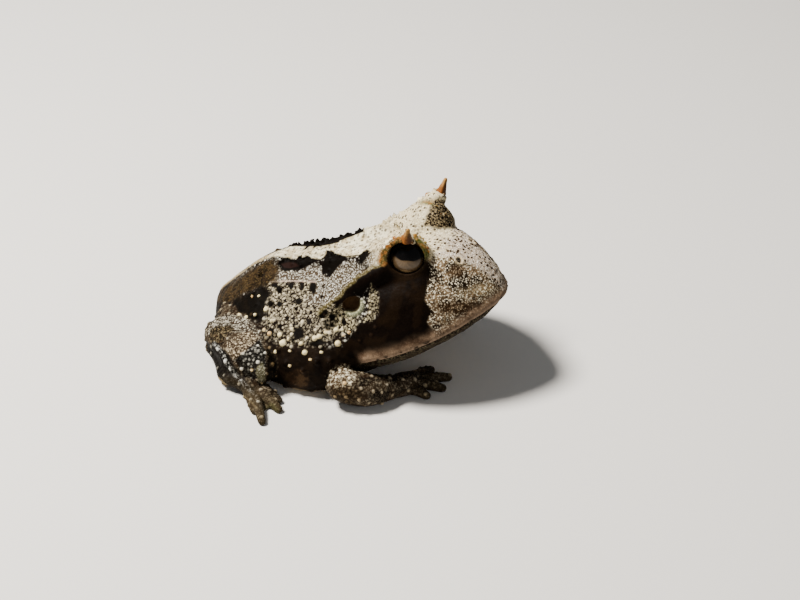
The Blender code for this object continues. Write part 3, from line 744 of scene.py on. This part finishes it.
def outline_distance(photo, outline):
    """The distance in pixels to an outline, negative inside it."""
    px, py = photo[:, 0], photo[:, 1]
    inside = np.zeros(len(photo), bool)
    for (ax, ay), (bx, by) in zip(outline, outline[1:] + outline[:1]):
        if ay != by:
            crosses = (ay > py) != (by > py)
            inside ^= crosses & (px < (bx - ax) * (py - ay) / (by - ay) + ax)
    distance = line_distance(photo, outline + outline[:1])
    return np.where(inside, -distance, distance)


def wander(skin, size, amount, seed):
    return (rough_noise(skin.points, size, seed) - 0.5) * 2 * amount


def patch(skin, outline, soft=1.5, wobble=2.0, seed=31):
    """1 inside an outline, 0 outside it, with an edge that wanders a little."""
    edge = outline_distance(skin.photo, outline) + wander(skin, 1.4, wobble, seed)
    return ramp(soft, -soft, edge)


def oval(skin, x, y, half_width, half_height, soft=0.25, wobble=0.3, seed=33):
    reach = np.hypot((skin.across - x) / half_width, (skin.down - y) / half_height)
    return ramp(1 + soft, 1 - soft, reach + wander(skin, 1.0, wobble, seed))


def stripe(skin, line, half_width, wobble=0.8, seed=35):
    distance = line_distance(skin.photo, line) + wander(skin, 0.9, wobble, seed)
    return ramp(half_width * 1.4, half_width * 0.6, distance)


def above_edge(skin, xs, ys, soft=2.0, wobble=1.5, seed=41):
    """1 above a line in the photo, which runs lower on the far side."""
    edge = np.interp(skin.across, xs, ys)
    edge += FAR_BAND_SHIFT * (skin.points[:, 1] > 0) * ramp(*FAR_BAND_ACROSS, skin.across)
    return ramp(-soft, soft, edge - skin.down + wander(skin, 1.6, wobble, seed))


def field_share(skin):
    """1 on the granular shoulders and flanks of the torso."""
    below_band = 1 - above_edge(skin, TOP_EDGE_X, TOP_EDGE_Y, wobble=0)
    for outline, _ in ROWS:
        below_band *= ramp(0.0, 2.0, outline_distance(skin.photo, outline))
    along = skin.points[:, 0]
    behind_head = ramp(*FIELD_ACROSS, skin.across) * ramp(*FIELD_FRONT, along)
    low = ramp(*FIELD_DOWN, skin.down)
    return below_band * behind_head * (1 - skin.limbs) * low * ramp(*FIELD_BACK, along)


def lower_flank(skin):
    return field_share(skin) * ramp(*LOWER_FLANK_DOWN, skin.down)


def snout_share(skin):
    """1 on the front of the head, above the lip."""
    front = ramp(-2.0, 2.0, outline_distance(skin.photo, CHEEK))
    front = front * ramp(*GRIT_ACROSS, skin.across)
    return front * ramp(*GRIT_OVER, skin.over_mouth) * ramp(*GRIT_ALONG, skin.head[:, 0])


def mix(colours, other, share):
    return colours + (other - colours) * share[:, None]


def colour_of(value):
    """Linear numbers from a screen colour written as three numbers. All else stays as it is."""
    return srgb(*value) if isinstance(value, tuple) else value


def mottle(dark, light, size, seed, low=0.42, high=0.62):
    """A ground that wanders between two colours, to be worked out for a skin."""
    def ground(skin):
        share = ramp(low, high, rough_noise(skin.points, size, seed))[:, None]
        return colour_of(dark) + (colour_of(light) - colour_of(dark)) * share
    return ground


LAYERS = ("ground", "granule", "grain", "stipple", "coarse")
LOOKS = {  # the ground's colour, the granules', how much these show, dark dots, coarseness
    "low flank": (mottle(FLANK_BROWN, BROWN, 2.4, 52), OCHRE, 0.25),
    "under flank": (mottle(FLANK_BROWN, (20, 13, 7), 2.0, 53), BROWN, 0.2),
    "belly blotch": (mottle(BROWN, (58, 43, 28), 1.4, 54), OCHRE, 0.3),
    "mid field": ((13, 8, 4), (208, 194, 162), 0.72, 0, 0.5),
    "pale field": ((58, 49, 38), GREY_WHITE, 1.0, 0.1, 0.0),
    "behind drum": ((13, 8, 4), CREAM, 0.75, 0, 0.5),
    "dark spot": (BLACK, BROWN, 0.1, 0),
    "lower thread": ((176, 152, 138), CREAM, 0.4),
    "rump": (mottle((16, 11, 5), OCHRE, 1.2, 55), (84, 68, 41), 0.6, 0.5, 0.2),
    "rump black": (mottle(BLACK, (12, 8, 4), 1.5, 56, 0.5, 0.7), OCHRE, 0.03, 0),
    "belly": (mottle(BROWN, BELLY, 2.5, 57), CREAM, 0.5),
    "band": (mottle((166, 152, 120), (212, 203, 174), 1.1, 42), CREAM_LIGHT, 0.5, 0.8, 0.0),
    "shoulder": ((176, 160, 126), CREAM_LIGHT, 0.6, 0.8, 0.0),
    "row": (BLACK, BROWN, 0, 0),
    "inside row": ((40, 24, 20),),
    "snout side": (mottle((26, 18, 10), (98, 80, 58), 1.6, 62), (238, 225, 196), 1.0, 0.7, 0.0),
    "snout top": ((160, 144, 124), (234, 226, 212), 1.0, 1.6, 0.0),
    "snout light": ((112, 94, 68), CREAM_LIGHT, 1.0, 0.3),
    "snout brown": ((46, 30, 15), (128, 102, 68), 0.6, 0.3),
    "inner lid": ((186, 172, 138), CREAM_LIGHT, 0.9, 0.9, 0.0),
    "far lid shade": ((14, 8, 4), (180, 160, 122), 1.0, 0, 0.4),
    "nostril rim": ((206, 186, 146), None, 0.2, 0),
    "nostril": ((18, 11, 5), None, 0, 0),
    "behind eye": (CHEEK_DARK_AND_SHADE, BROWN, 0.15, 0),
    "pale triangle": ((13, 8, 4), CREAM, 0.42, 0, 0.4),
    "cheek": (mottle(CHEEK_DARK_AND_SHADE, CHEEK_STREAK, 2.8, 61, 0.5, 0.72), BROWN, 0.18, 0, 0.4),
    "fold edge": ((64, 56, 28), CREAM, 0.4, 0.3),
    "lip": (mottle((58, 43, 31), (96, 78, 61), 1.8, 74, 0.3, 0.6), (130, 110, 90), 0.35, 0.3, 0.2),
    "lip edge": ((122, 103, 86),),
    "lip spots": (FLANK_BROWN,),
    "jaw": (mottle((44, 31, 20), BELLY, 2.6, 73, 0.4, 0.6), CREAM, 0.2, 0.1, 0.5),
    "mouth line": ((26, 14, 9), None, 0, 0),
    "lid rim": (mottle((50, 42, 18), (108, 66, 26), 0.7, 77), (166, 132, 80), 0.35, 0.5, 0.2),
    "upper lid": (mottle((70, 72, 30), (112, 82, 38), 0.8, 78), CREAM, 0.15, 0.2),
    "lower lid": ((24, 17, 8), BROWN, 0.1, 0),
    "lid edge shade": ((26, 17, 9), None, 0, 0),
    "socket": (BLACK, None, 0, 0),
    "limbs": (mottle(FLANK_BROWN, BROWN, 2.0, 81), (132, 120, 98), 0.3, 0, 0.4),
    "limb bars": ((48, 38, 26), (160, 150, 130), 0.5, 0.3, 0.3),
    "elbow": ((54, 41, 26), (222, 210, 180), 1.0, 0.3, 0.6),
    "elbow shade": ((28, 20, 11), (120, 100, 70), 0.4, 0.3, 0.5),
    "leg top": ((40, 35, 27), (190, 182, 164), 0.85, 0.9, 0.1),
    "leg bar": ((14, 11, 6), (112, 98, 72), 0.7, 0.8, 0.1),
    "leg tan": ((44, 35, 25), (190, 174, 146), 0.9, 0.8, 0.1),
    "leg black": (BLACK, GREY_WHITE, 0.03, 0),
    "leg gap shadow": (BLACK, (90, 74, 50), 0.1, 0),
    "leg dots": (BLACK, GREY_WHITE, 0.3, 0, 0.9),
    "leg dark": (BLACK, (110, 106, 96), 0.08, 0, 0.5),
    "knee": ((84, 80, 58), (190, 186, 164), 0.8, 0.2, 0.2),
    "shank ridge": ((9, 8, 6), (210, 208, 200), 0.7, 0, 0.6),
    "sole": ((120, 104, 76), CREAM, 0.3, 0),
    "web": ((84, 86, 50), (160, 160, 110), 0.4, 0, 0.3),
    "tips": ((46, 38, 25), (120, 108, 84), 0.4, 0.3, 0.2),
    "own granules": (None,),
    "cream wart": (mottle((196, 160, 108), (222, 206, 158), 2.5, 86, 0.3, 0.6), CREAM, 0.2, 0),
    "brown wart": (mottle((124, 66, 20), (132, 110, 52), 1.0, 87, 0.35, 0.65), CREAM, 0.15, 0),
    "pale wart": (CREAM_LIGHT, CREAM, 0.15, 0),
    "eardrum": ((44, 29, 14), BROWN, 0.1, 0),
    "eardrum rim": ((116, 120, 94), CREAM, 0.9, 0, 0.1),
}


class Paint:
    """The layers of colour of the skin's points, which looks are laid over one by one."""

    def __init__(self, skin):
        count = len(skin.points)
        self.skin = skin
        self.ground = np.tile(FLANK_BROWN, (count, 1))
        self.granule = np.tile(GREY_WHITE, (count, 1))
        self.grain = np.full(count, 0.8)
        self.stipple = np.zeros(count)
        self.coarse = np.ones(count)

    def lay(self, look, share, ground=None):
        """Lays a look over a share of each point, with another ground if one is given."""
        share = np.clip(share, 0, 1)
        for layer, value in zip(LAYERS, LOOKS[look]):
            if layer == "ground" and ground is not None:
                value = ground
            if callable(value):
                value = value(self.skin)
            if value is not None:
                old = getattr(self, layer)
                wide = share[:, None] if old.ndim == 2 else share
                setattr(self, layer, old + (colour_of(value) - old) * wide)


def paint_torso(paint, skin):
    height, down = skin.points[:, 2], skin.down
    # Darker towards the bottom: the flank's own dark brown with painted shade over the lower flanks and
    # under them.
    paint.lay("low flank", ramp(*LOW_FLANK_UP, height + wander(skin, 4, 3, 51)))
    paint.lay("under flank", ramp(*UNDER_FLANK_DOWN, down))
    paint.lay("belly blotch", oval(skin, *BELLY_BLOTCH))
    middle = patch(skin, MID_FIELD, 5, 5)
    paint.lay("mid field", middle)
    paint.grain *= 1 - 0.45 * ramp(*SPARSE_DOWN, down) * middle
    paint.lay("pale field", patch(skin, PALE_FIELD, 3, 3))
    paint.lay("behind drum", patch(skin, BEHIND_DRUM, 2, 3))
    for spot in DARK_SPOTS:
        paint.lay("dark spot", oval(skin, *spot))
    paint.lay("lower thread", stripe(skin, LOWER_THREAD, 0.7) * 0.5)
    paint.lay("rump", patch(skin, RUMP_OCHRE, 3, 4))
    paint.lay("rump black", patch(skin, RUMP_BLACK, 3, 4))
    paint.lay("belly", ramp(*BELLY_UP, height))


def paint_top(paint, skin):
    """The cream band of the back and the serrated black patches at its edges."""
    across, down = skin.across, skin.down
    behind = ramp(*BAND_FRONT_ACROSS, across)
    band = above_edge(skin, TOP_EDGE_X, TOP_EDGE_Y, soft=1.2, wobble=1.0) * behind
    cream = mix(LOOKS["band"][0](skin), BAND_END, ramp(*BAND_BACK_ACROSS, across))
    paint.lay("band", band * (1 - skin.limbs), cream)
    shoulder = ramp(*SHOULDER_ACROSS, across) * ramp(*SHOULDER_DOWN, down)
    paint.lay("shoulder", shoulder * behind)
    far = skin.points[:, 1] > 0
    for outline, shift in ROWS:
        edge = outline_distance(skin.photo - np.outer(far, shift), outline) + wander(skin, 1.4, 0.5, 31)
        paint.lay("row", ramp(0.5, -0.5, edge))
    for outline in (FAR_ROW_A, FAR_ROW_B):
        edge = outline_distance(skin.far_photo, outline) + wander(skin, 1.4, 0.5, 32)
        paint.lay("row", ramp(0.5, -0.5, edge) * far)
    paint.lay("inside row", patch(skin, ROW_A_INSIDE, 1.0, 1.0) * 0.45)
    paint.lay("row", stripe(skin, ROW_THREAD, 0.55, 0.1) * ~far)


def paint_head(paint, skin, nostril):
    across, on_body = skin.across, 1 - skin.limbs
    on_head = ramp(*HEAD_ALONG, skin.head[:, 0]) * ramp(*FACE_OVER, skin.over_mouth)
    front = ramp(*FACE_ACROSS, across) * on_head
    paint.lay("snout side", front)
    top = above_edge(skin, SNOUT_EDGE_X, SNOUT_EDGE_Y, 2.5, 2)
    paint.lay("snout top", top * ramp(*SNOUT_TOP_ACROSS, across) * on_head)
    paint.lay("inner lid", inner_lid(skin) * on_head)
    for look, ovals in SNOUT_PATCHES:
        paint.lay(look, sum(oval(skin, *place, 0.5) * strength for place, strength in ovals) * front)
    from_nostril = skin.distance(nostril)
    paint.lay("nostril rim", bell(from_nostril - 1.05, 0.3) * 0.6)
    # The nostril's hole is painted dark as painted shade inside it.
    paint.lay("nostril", ramp(0.85, 0.5, from_nostril))
    # Behind the eye and on the cheek, the dark brown also holds painted shade.
    paint.lay("behind eye", patch(skin, BEHIND_EYE, 1.6, 1.5) * on_body)
    paint.lay("pale triangle", patch(skin, PALE_TRIANGLE, 1.5, 1.5))
    streaked = LOOKS["cheek"][0](skin)
    for line, half_width, wobble, strength in CHEEK_STREAKS:
        streaked = mix(streaked, CHEEK_STREAK, strength * stripe(skin, line, half_width, wobble))
    paint.lay("cheek", patch(skin, CHEEK, 1.3, 1.6) * ramp(0.3, 1.2, skin.over_mouth) * on_body, streaked)
    paint.lay("fold edge", stripe(skin, FOLD_EDGE, 1.9, 1.6) * 0.7 * on_body)


def paint_mouth(paint, skin):
    over, reach = skin.over_mouth, mouth_reach(skin)
    paint.lay("lip", ramp(*LIP_OVER, over + wander(skin, 2, 0.9, 71)) * (over > -0.1) * reach)
    paint.lay("lip edge", bell(over - 0.75, 0.5) * reach * 0.6)
    spots = ramp(0.74, 0.8, noise(skin.points, 1.1, 72)) * ramp(1.6, 0.9, over) * (over > 0)
    paint.lay("lip spots", spots * reach)
    jaw = ramp(0.0, -0.3, over) * ramp(-5, -2, skin.along_mouth) * (1 - skin.limbs)
    # Next to the mouth the jaw is painted shade, which fades into its own mottle lower down.
    paint.lay("jaw", jaw, mix(CHIN_SHADE, LOOKS["jaw"][0](skin), ramp(-3.0, -7.0, over)))
    paint.lay("mouth line", reach * ramp(*LINE_OVER, np.abs(over)))


def paint_eyes(paint, skin):
    rim = stripe(skin, LID_RIM, 4.8, 1.2) * (1 - inner_lid(skin))
    paint.lay("lid rim", rim * ramp(*LID_RIM_NEAR, skin.distance(eye_centre("right"))))
    for word, side in SIDES.items():
        reach = skin.points - eye_centre(word)
        distance = np.linalg.norm(reach, axis=1)
        local = unit(reach) @ np.array(facing(on_side(EYE_OUTWARD, side)).to_3x3())
        rise, out = local[:, 1], local[:, 2]
        near = ramp(*LIDS_NEAR, distance)
        paint.lay("upper lid", near * ramp(-0.02, 0.2, out) * ramp(-0.15, 0.25, rise))
        paint.lay("lower lid", near * ramp(0.1, 0.35, out) * ramp(0.2, -0.1, rise) * 0.85)
        # Painted shade where the lids meet the eye: a dark lid edge and a black socket.
        paint.lay("lid edge shade", near * ramp(0.44, 0.58, out))
        paint.lay("socket", ramp(*SOCKET_SHADE_NEAR, distance))


def inner_lid(skin):
    """1 on the faces of the upper lids that look towards the middle of the head."""
    inner = ramp(0.35, 0.0, skin.normals[:, 1] * np.sign(skin.points[:, 1]))
    return inner * ramp(*INNER_LID_NEAR, skin.distance(eye_centre("right")))


def paint_far_lid_shade(paint, skin):
    """The dark grainy front of the far lid, which the photo shows from the inside."""
    # The front is painted dark as painted shade, with a few granules.
    edge = outline_distance(skin.far_photo, FAR_LID_SHADE) + wander(skin, 1.2, 2.0, 79)
    paint.lay("far lid shade", ramp(1.5, -1.5, edge) * inner_lid(skin) * (skin.points[:, 1] > 0))


def paint_limbs(paint, skin):
    limbs, x, y = skin.limbs, skin.points[:, 0], np.abs(skin.points[:, 1])
    leg = limbs * ramp(*LEGS_BACK, x)
    arm = limbs - leg
    paint.lay("limbs", limbs)
    bars = np.sin(1.1 * (x * 0.8 + y * 0.6) + wander(skin, 3, 1.2, 82))
    paint.lay("limb bars", limbs * ramp(0.35, 0.8, bars) * 0.6)
    paint.lay("elbow", arm * oval(skin, *ELBOW))
    paint.lay("elbow shade", arm * oval(skin, *ELBOW_SHADE) * 0.8)
    for look, outline, soft, wobble in LEG_PATCHES:
        paint.lay(look, leg * patch(skin, outline, soft, wobble))
    paint.lay("knee", leg * oval(skin, *KNEE))
    paint.lay("shank ridge", leg * stripe(skin, SHANK_RIDGE, 2.2))
    paint.lay("sole", leg * stripe(skin, SOLE_LINE, 0.8, 0.4))
    paint.lay("web", leg * oval(skin, *WEB_PLACE))
    paint.lay("tips", (leg * ramp(*FEET_OUT, y) + arm * ramp(*HANDS_FRONT, x) * 0.7) * 0.8)


def paint_warts(paint, skin, shares):
    tone = 0.4 + 0.9 * noise(skin.points, 0.9, 85)[:, None]
    paint.lay("own granules", ramp(0.2, 0.55, shares["granules"]) * paint.grain, paint.granule * tone)
    paint.lay("own granules", ramp(0.3, 0.75, shares["knobs"]) * 0.8, paint.granule)
    paint.lay("cream wart", ramp(0.12, 0.45, shares["cream"]))
    paint.lay("brown wart", ramp(0.15, 0.5, shares["rim"]))
    paint.lay("pale wart", ramp(0.15, 0.5, shares["pale_rim"]))


def paint_eardrum(paint, skin, spot):
    distance = skin.distance(spot)
    paint.lay("eardrum", ramp(2.6, 2.1, distance))
    forward, down = skin.points[:, 0] - spot[0], spot[2] - skin.points[:, 2]
    paint.lay("eardrum rim", bell(distance - 2.45, 0.5) * ramp(0.0, 1.6, forward + down))


def store(mesh, name, values):
    attribute = mesh.attributes.new(name, "FLOAT_COLOR", "POINT")
    full = np.column_stack([values, np.ones(len(values))]).astype(np.float32)
    attribute.data.foreach_set("color", full.ravel())


# Materials.

class Nodes:
    """Short ways to add shader nodes to a material."""

    def __init__(self, name):
        self.material = bpy.data.materials.new(name)
        self.material.use_nodes = True
        self.tree = self.material.node_tree
        self.shader = self.tree.nodes["Principled BSDF"]

    def add(self, kind, settings=None, **inputs):
        node = self.tree.nodes.new(kind)
        for key, value in (settings or {}).items():
            setattr(node, key, value)
        for key, value in inputs.items():
            self.feed(node.inputs[key.replace("_", " ")], value)
        return node

    def feed(self, socket, value):
        if isinstance(value, bpy.types.NodeSocket):
            self.tree.links.new(value, socket)
        else:
            socket.default_value = value

    def attribute(self, name):
        return self.add("ShaderNodeAttribute", {"attribute_name": name}).outputs["Color"]

    def parts(self, colour):
        return self.add("ShaderNodeSeparateColor", Color=colour).outputs

    def place(self):
        return self.add("ShaderNodeTexCoord").outputs["Object"]

    def cells(self, place, size):
        return self.add("ShaderNodeTexVoronoi", {"feature": "F1"}, Vector=place, Scale=1 / (size * MM))

    def cloud(self, place, size, detail=4.0):
        node = self.add("ShaderNodeTexNoise", Vector=place, Scale=1 / (size * MM), Detail=detail)
        return node.outputs["Fac"]

    def apply(self, kind, settings, inputs, output=0):
        """Adds a node, feeds its inputs by their keys and returns one output."""
        node = self.add(kind, settings)
        for key, value in inputs.items():
            self.feed(node.inputs[key], value)
        return node.outputs[output]

    def maths(self, operation, *values):
        return self.apply("ShaderNodeMath", {"operation": operation}, dict(enumerate(values)))

    def blend(self, share, first, second):
        return self.apply("ShaderNodeMix", {"data_type": "RGBA"}, {0: share, 6: first, 7: second}, 2)

    def between(self, share, first, second):
        return self.apply("ShaderNodeMix", {"data_type": "FLOAT"}, {0: share, 2: first, 3: second})

    def scaled(self, colour, factor):
        return self.apply("ShaderNodeVectorMath", {"operation": "SCALE"}, {0: colour, "Scale": factor})

    def range(self, *values):
        """Brings a value from between two numbers to between two others, or to 0 to 1."""
        return self.apply("ShaderNodeMapRange", {"interpolation_type": "SMOOTHSTEP"},
                          dict(enumerate(values)))

    def bump(self, height, strength, distance):
        return self.add("ShaderNodeBump", Strength=strength, Distance=distance, Height=height).outputs[0]

    def surface(self, **inputs):
        """Feeds the surface shader's inputs, their names written with _ for a space."""
        for key, value in inputs.items():
            self.feed(self.shader.inputs[key.replace("_", " ")], value)


FINE_CELLS, COARSE_CELLS, DOT_CELLS = 0.42, 0.78, 0.72    # sizes of granules and of dark dots
DOT_BROWN = srgb(40, 28, 16)


def skin_material():
    n = Nodes("frog_skin")
    place = n.place()
    marks = n.parts(n.attribute("marks"))
    grain, stipple, coarse = marks[0], marks[1], marks[2]
    small, large = n.cells(place, FINE_CELLS), n.cells(place, COARSE_CELLS)
    domes = n.between(coarse, n.range(small.outputs["Distance"], 0.56, 0.24),
                      n.range(large.outputs["Distance"], 0.48, 0.22))
    chance = n.between(coarse, n.parts(small.outputs["Color"])[1], n.parts(large.outputs["Color"])[1])
    uneven = n.maths("MULTIPLY", n.range(n.cloud(place, 2.2, 3.0), 0.3, 0.7, 0.6, 1.15),
                     n.range(chance, 0.0, 1.0, 0.5, 1.1))
    share = n.maths("MULTIPLY", n.maths("MULTIPLY", domes, grain), uneven)
    colour = n.blend(share, n.attribute("ground"), n.attribute("granule"))
    dots = n.cells(place, DOT_CELLS)
    core = n.range(dots.outputs["Distance"], 0.56, 0.36)
    chosen = n.range(n.parts(dots.outputs["Color"])[0], 0.3, 0.75)
    dotted = n.maths("MULTIPLY", n.maths("MULTIPLY", core, chosen), stipple)
    colour = n.blend(dotted, colour, (*DOT_BROWN, 1))
    fine = n.cloud(place, 0.3)
    height = n.maths("ADD", n.maths("MULTIPLY", share, 0.9), n.maths("MULTIPLY", fine, 0.3))
    n.surface(Base_Color=n.scaled(colour, n.range(fine, 0.3, 0.7, 0.8, 1.15)),
              Normal=n.bump(height, 0.7, 0.14 * MM),
              Roughness=n.range(fine, 0.35, 0.65, 0.5, 0.7), Specular_IOR_Level=0.02)
    return n.material


# Eyes and horns.

PUPIL_HALF = (0.84, 0.34)        # shares of the eye's radius
PUPIL_PLACE = (0.10, 0.29)       # forward and up from the middle
IRIS_LIGHT = srgb(92, 74, 51)
IRIS_DARK = srgb(42, 30, 17)
IRIS_SHADE = srgb(24, 17, 10)    # over the pupil
IRIS_RIM = srgb(132, 108, 74)    # the thin pale line at the bottom
PUPIL = srgb(3, 2, 2)


def iris_colours(local, side):
    """A level black pupil, a pale iris below it and a shaded one above."""
    across, rise, out = -side * local[:, 0], local[:, 1], local[:, 2]
    reach = np.hypot((across - PUPIL_PLACE[0]) / PUPIL_HALF[0],
                     (rise - PUPIL_PLACE[1]) / PUPIL_HALF[1])
    angle = np.arctan2(rise, across)
    rays = noise(np.column_stack([np.cos(angle) * 9, np.sin(angle) * 9, reach * 1.2]), 1.0, 91)
    light = ramp(0.2, 0.8, 0.55 * rays + 0.45 * rough_noise(local * 10, 1.0, 92))
    pale = bell(np.hypot((across - 0.05) / 0.75, (rise + 0.34) / 0.42), 1.0)
    colours = IRIS_DARK + (IRIS_LIGHT - IRIS_DARK) * (pale * (0.55 + 0.45 * light))[:, None]
    colours = mix(colours, IRIS_SHADE, 0.9 * ramp(-0.05, 0.15, rise))
    colours = mix(colours, IRIS_DARK * 0.3, ramp(0.42, 0.2, out))
    colours = mix(colours, IRIS_RIM, 0.6 * bell(rise + 0.66, 0.035) * ramp(0.5, 0.2, abs(across)))
    return mix(colours, PUPIL, ramp(1.04, 0.98, reach + 0.06 * np.sin(across * 9)) * (out > 0))


def make_eye(word, side):
    thing = shape("eye_ball_" + word, bmesh.ops.create_uvsphere, u_segments=160, v_segments=110,
                  radius=EYE_RADIUS * MM)
    store(thing.data, "iris", iris_colours(unit(points_of(thing.data)), side))
    thing.data.transform(Matrix.Translation(Vector(eye_centre(word)) * MM)
                         @ facing(on_side(EYE_OUTWARD, side)))
    thing.data.shade_smooth()
    n = Nodes("eye_" + word)
    n.surface(Base_Color=n.attribute("iris"), Roughness=0.3, Specular_IOR_Level=0.1,
              Coat_Weight=0.3, Coat_Roughness=0.03)
    thing.data.materials.append(n.material)
    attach(thing, "root")
    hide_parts("eye_" + word)


HORN_SIDES, HORN_STEPS = 28, 30
HORN_RADII = (1.3, 0.36)         # at the base and near the rounded tip
HORN_SUNK = 0.1                  # how far the base reaches into the lid
HORN_FOOT_COLOUR, HORN_TIP_COLOUR = srgb(122, 70, 22), srgb(146, 108, 58)
# The dark brown down the front is painted shade.
HORN_FRONT_SHADE = srgb(44, 22, 8)


def horn_colours(points, base, tip):
    """Tan, towards orange at the foot, and dark brown down the front as painted shade."""
    along = (points - base) @ (tip - base) / np.dot(tip - base, tip - base)
    front = unit(points - base - np.outer(along, tip - base))[:, 0]
    colours = mix(HORN_FOOT_COLOUR, HORN_TIP_COLOUR, ramp(0.2, 0.8, along))
    return mix(colours, HORN_FRONT_SHADE, 0.85 * ramp(-0.1, 0.6, front) * ramp(1.05, 0.6, along))


def horn_material():
    n = Nodes("horn")
    streaks = n.cloud(n.place(), 0.5)
    n.surface(Base_Color=n.scaled(n.attribute("tone"), n.range(streaks, 0.3, 0.7, 0.65, 1.1)),
              Normal=n.bump(streaks, 0.5, 0.1 * MM), Roughness=0.55, Specular_IOR_Level=0.1)
    return n.material


def make_horn(word, side, material):
    """A soft spike of skin with a blunt tip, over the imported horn."""
    base, tip = (np.array(on_side(place, side)) for place in (HORN_BASE, HORN_TIP))
    along = unit(tip - base)
    base = base - along * HORN_SUNK
    length = np.linalg.norm(tip - base)
    turn = np.array(facing(along).to_3x3())
    bm = bmesh.new()
    rings = []
    for step in range(HORN_STEPS):
        t = math.sin(math.pi / 2 * step / (HORN_STEPS - 1))
        to_tip = length * (1 - t)
        cap = math.sqrt(max(0.0, 1 - max(0.0, 1 - to_tip / HORN_RADII[1]) ** 2))
        radius = (HORN_RADII[1] + (HORN_RADII[0] - HORN_RADII[1]) * (1 - t) ** 1.2) * max(cap, 0.03)
        centre = base + along * length * t
        ring = []
        for k in range(HORN_SIDES):
            angle = 2 * math.pi * k / HORN_SIDES
            wrinkle = 1 + 0.05 * math.sin(5 * angle + 3 * t) + 0.02 * math.sin(16 * t)
            across = turn @ np.array([math.cos(angle), math.sin(angle), 0])
            ring.append(bm.verts.new(Vector(centre + across * radius * wrinkle) * MM))
        rings.append(ring)
    for near, far in zip(rings, rings[1:]):
        for k in range(HORN_SIDES):
            bm.faces.new((near[k], near[(k + 1) % HORN_SIDES], far[(k + 1) % HORN_SIDES], far[k]))
    bm.faces.new(rings[0][::-1])
    bm.faces.new(rings[-1])
    bmesh.ops.recalc_face_normals(bm, faces=bm.faces)
    thing = to_object("spike_" + word, bm)
    store(thing.data, "tone", horn_colours(points_of(thing.data), base, tip))
    thing.data.shade_smooth()
    thing.data.materials.append(material)
    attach(thing, "root")
    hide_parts("horn_" + word)


# Light, floor and camera.

FLOOR_HALF, FLOOR_COLOUR = 3.0, srgb(210, 207, 202)    # half its width, in metres
WORLD_COLOUR, WORLD_STRENGTH = (0.94, 0.97, 1.0, 1), 0.17
LIGHTS = {  # direction from the frog, distance and width in metres, power, colour
    "key": ((-0.50, -0.15, 0.85), 0.6, 0.16, 14.0, (1.0, 0.96, 0.9)),
    "fill": ((0.75, -0.65, 0.5), 0.7, 0.5, 0.8, (0.98, 0.98, 1.0)),
}


def make_floor():
    floor = shape("floor", bmesh.ops.create_grid, x_segments=1, y_segments=1, size=FLOOR_HALF)
    n = Nodes("floor")
    n.surface(Base_Color=(*FLOOR_COLOUR, 1), Roughness=0.9)
    floor.data.materials.append(n.material)


def make_lights():
    world = bpy.data.worlds.new("studio")
    bpy.context.scene.world = world
    world.use_nodes = True
    background = world.node_tree.nodes["Background"]
    background.inputs[0].default_value = WORLD_COLOUR
    background.inputs[1].default_value = WORLD_STRENGTH
    for name, (direction, distance, size, power, colour) in LIGHTS.items():
        light = bpy.data.lights.new(name, "AREA")
        light.shape = "DISK"
        light.size = size
        light.energy = power
        light.color = colour
        thing = link(name, light)
        direction = Vector(direction).normalized()
        thing.location = Vector(CAMERA_TARGET) * MM + direction * distance
        thing.rotation_mode = "QUATERNION"
        thing.rotation_quaternion = direction.to_track_quat("Z", "Y")
        thing.visible_glossy = name == "key"


def make_camera():
    right, up, back = (Vector(axis) for axis in camera_axes())
    camera = bpy.data.cameras.new("camera")
    camera.lens = LENS
    camera.sensor_width = SENSOR
    camera.clip_start = 0.01
    thing = link("camera", camera)
    thing.location = (Vector(CAMERA_TARGET) + back * CAMERA_DISTANCE) * MM
    thing.rotation_mode = "QUATERNION"
    thing.rotation_quaternion = Matrix((right, up, back)).transposed().to_quaternion()
    bpy.context.scene.camera = thing


def dress_skin():
    skin = make_skin()
    sculpt_heels(skin)
    listed = (BIG_WARTS, PALE_RIM, BROWN_RIM, ROW_SPIKES)
    places = [wart[:2] for warts in listed for wart in warts]
    found = iter(skin.spots([NOSTRIL_PHOTO, EARDRUM_PHOTO] + places))
    nostril, ear = next(found), next(found)
    wart_spots = [[next(found) for _ in warts] for warts in listed]
    sculpt_folds(skin)
    sculpt_mouth(skin)
    sculpt_nostrils(skin, nostril)
    sculpt_eardrums(skin, ear)
    shares = sculpt_warts(skin, *wart_spots)
    points = skin.points.copy()
    points[:, 2] = np.maximum(points[:, 2], FLOOR_GAP)
    skin.write(points)

    paint = Paint(skin)
    paint_torso(paint, skin)
    paint_top(paint, skin)
    paint_head(paint, skin, nostril)
    paint_mouth(paint, skin)
    paint_eyes(paint, skin)
    paint_limbs(paint, skin)
    paint_warts(paint, skin, shares)
    paint_far_lid_shade(paint, skin)
    paint_eardrum(paint, skin, ear)
    mesh = skin.thing.data
    store(mesh, "ground", paint.ground)
    store(mesh, "granule", paint.granule)
    store(mesh, "marks", np.column_stack([paint.grain, paint.stipple, paint.coarse]))
    mesh.shade_smooth()
    mesh.materials.clear()
    mesh.materials.append(skin_material())
    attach(skin.thing, "root")
    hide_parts(*flesh_nodes())


make_camera()
make_lights()
make_floor()
dress_skin()
spike = horn_material()
for word, side in SIDES.items():
    make_eye(word, side)
    make_horn(word, side, spike)
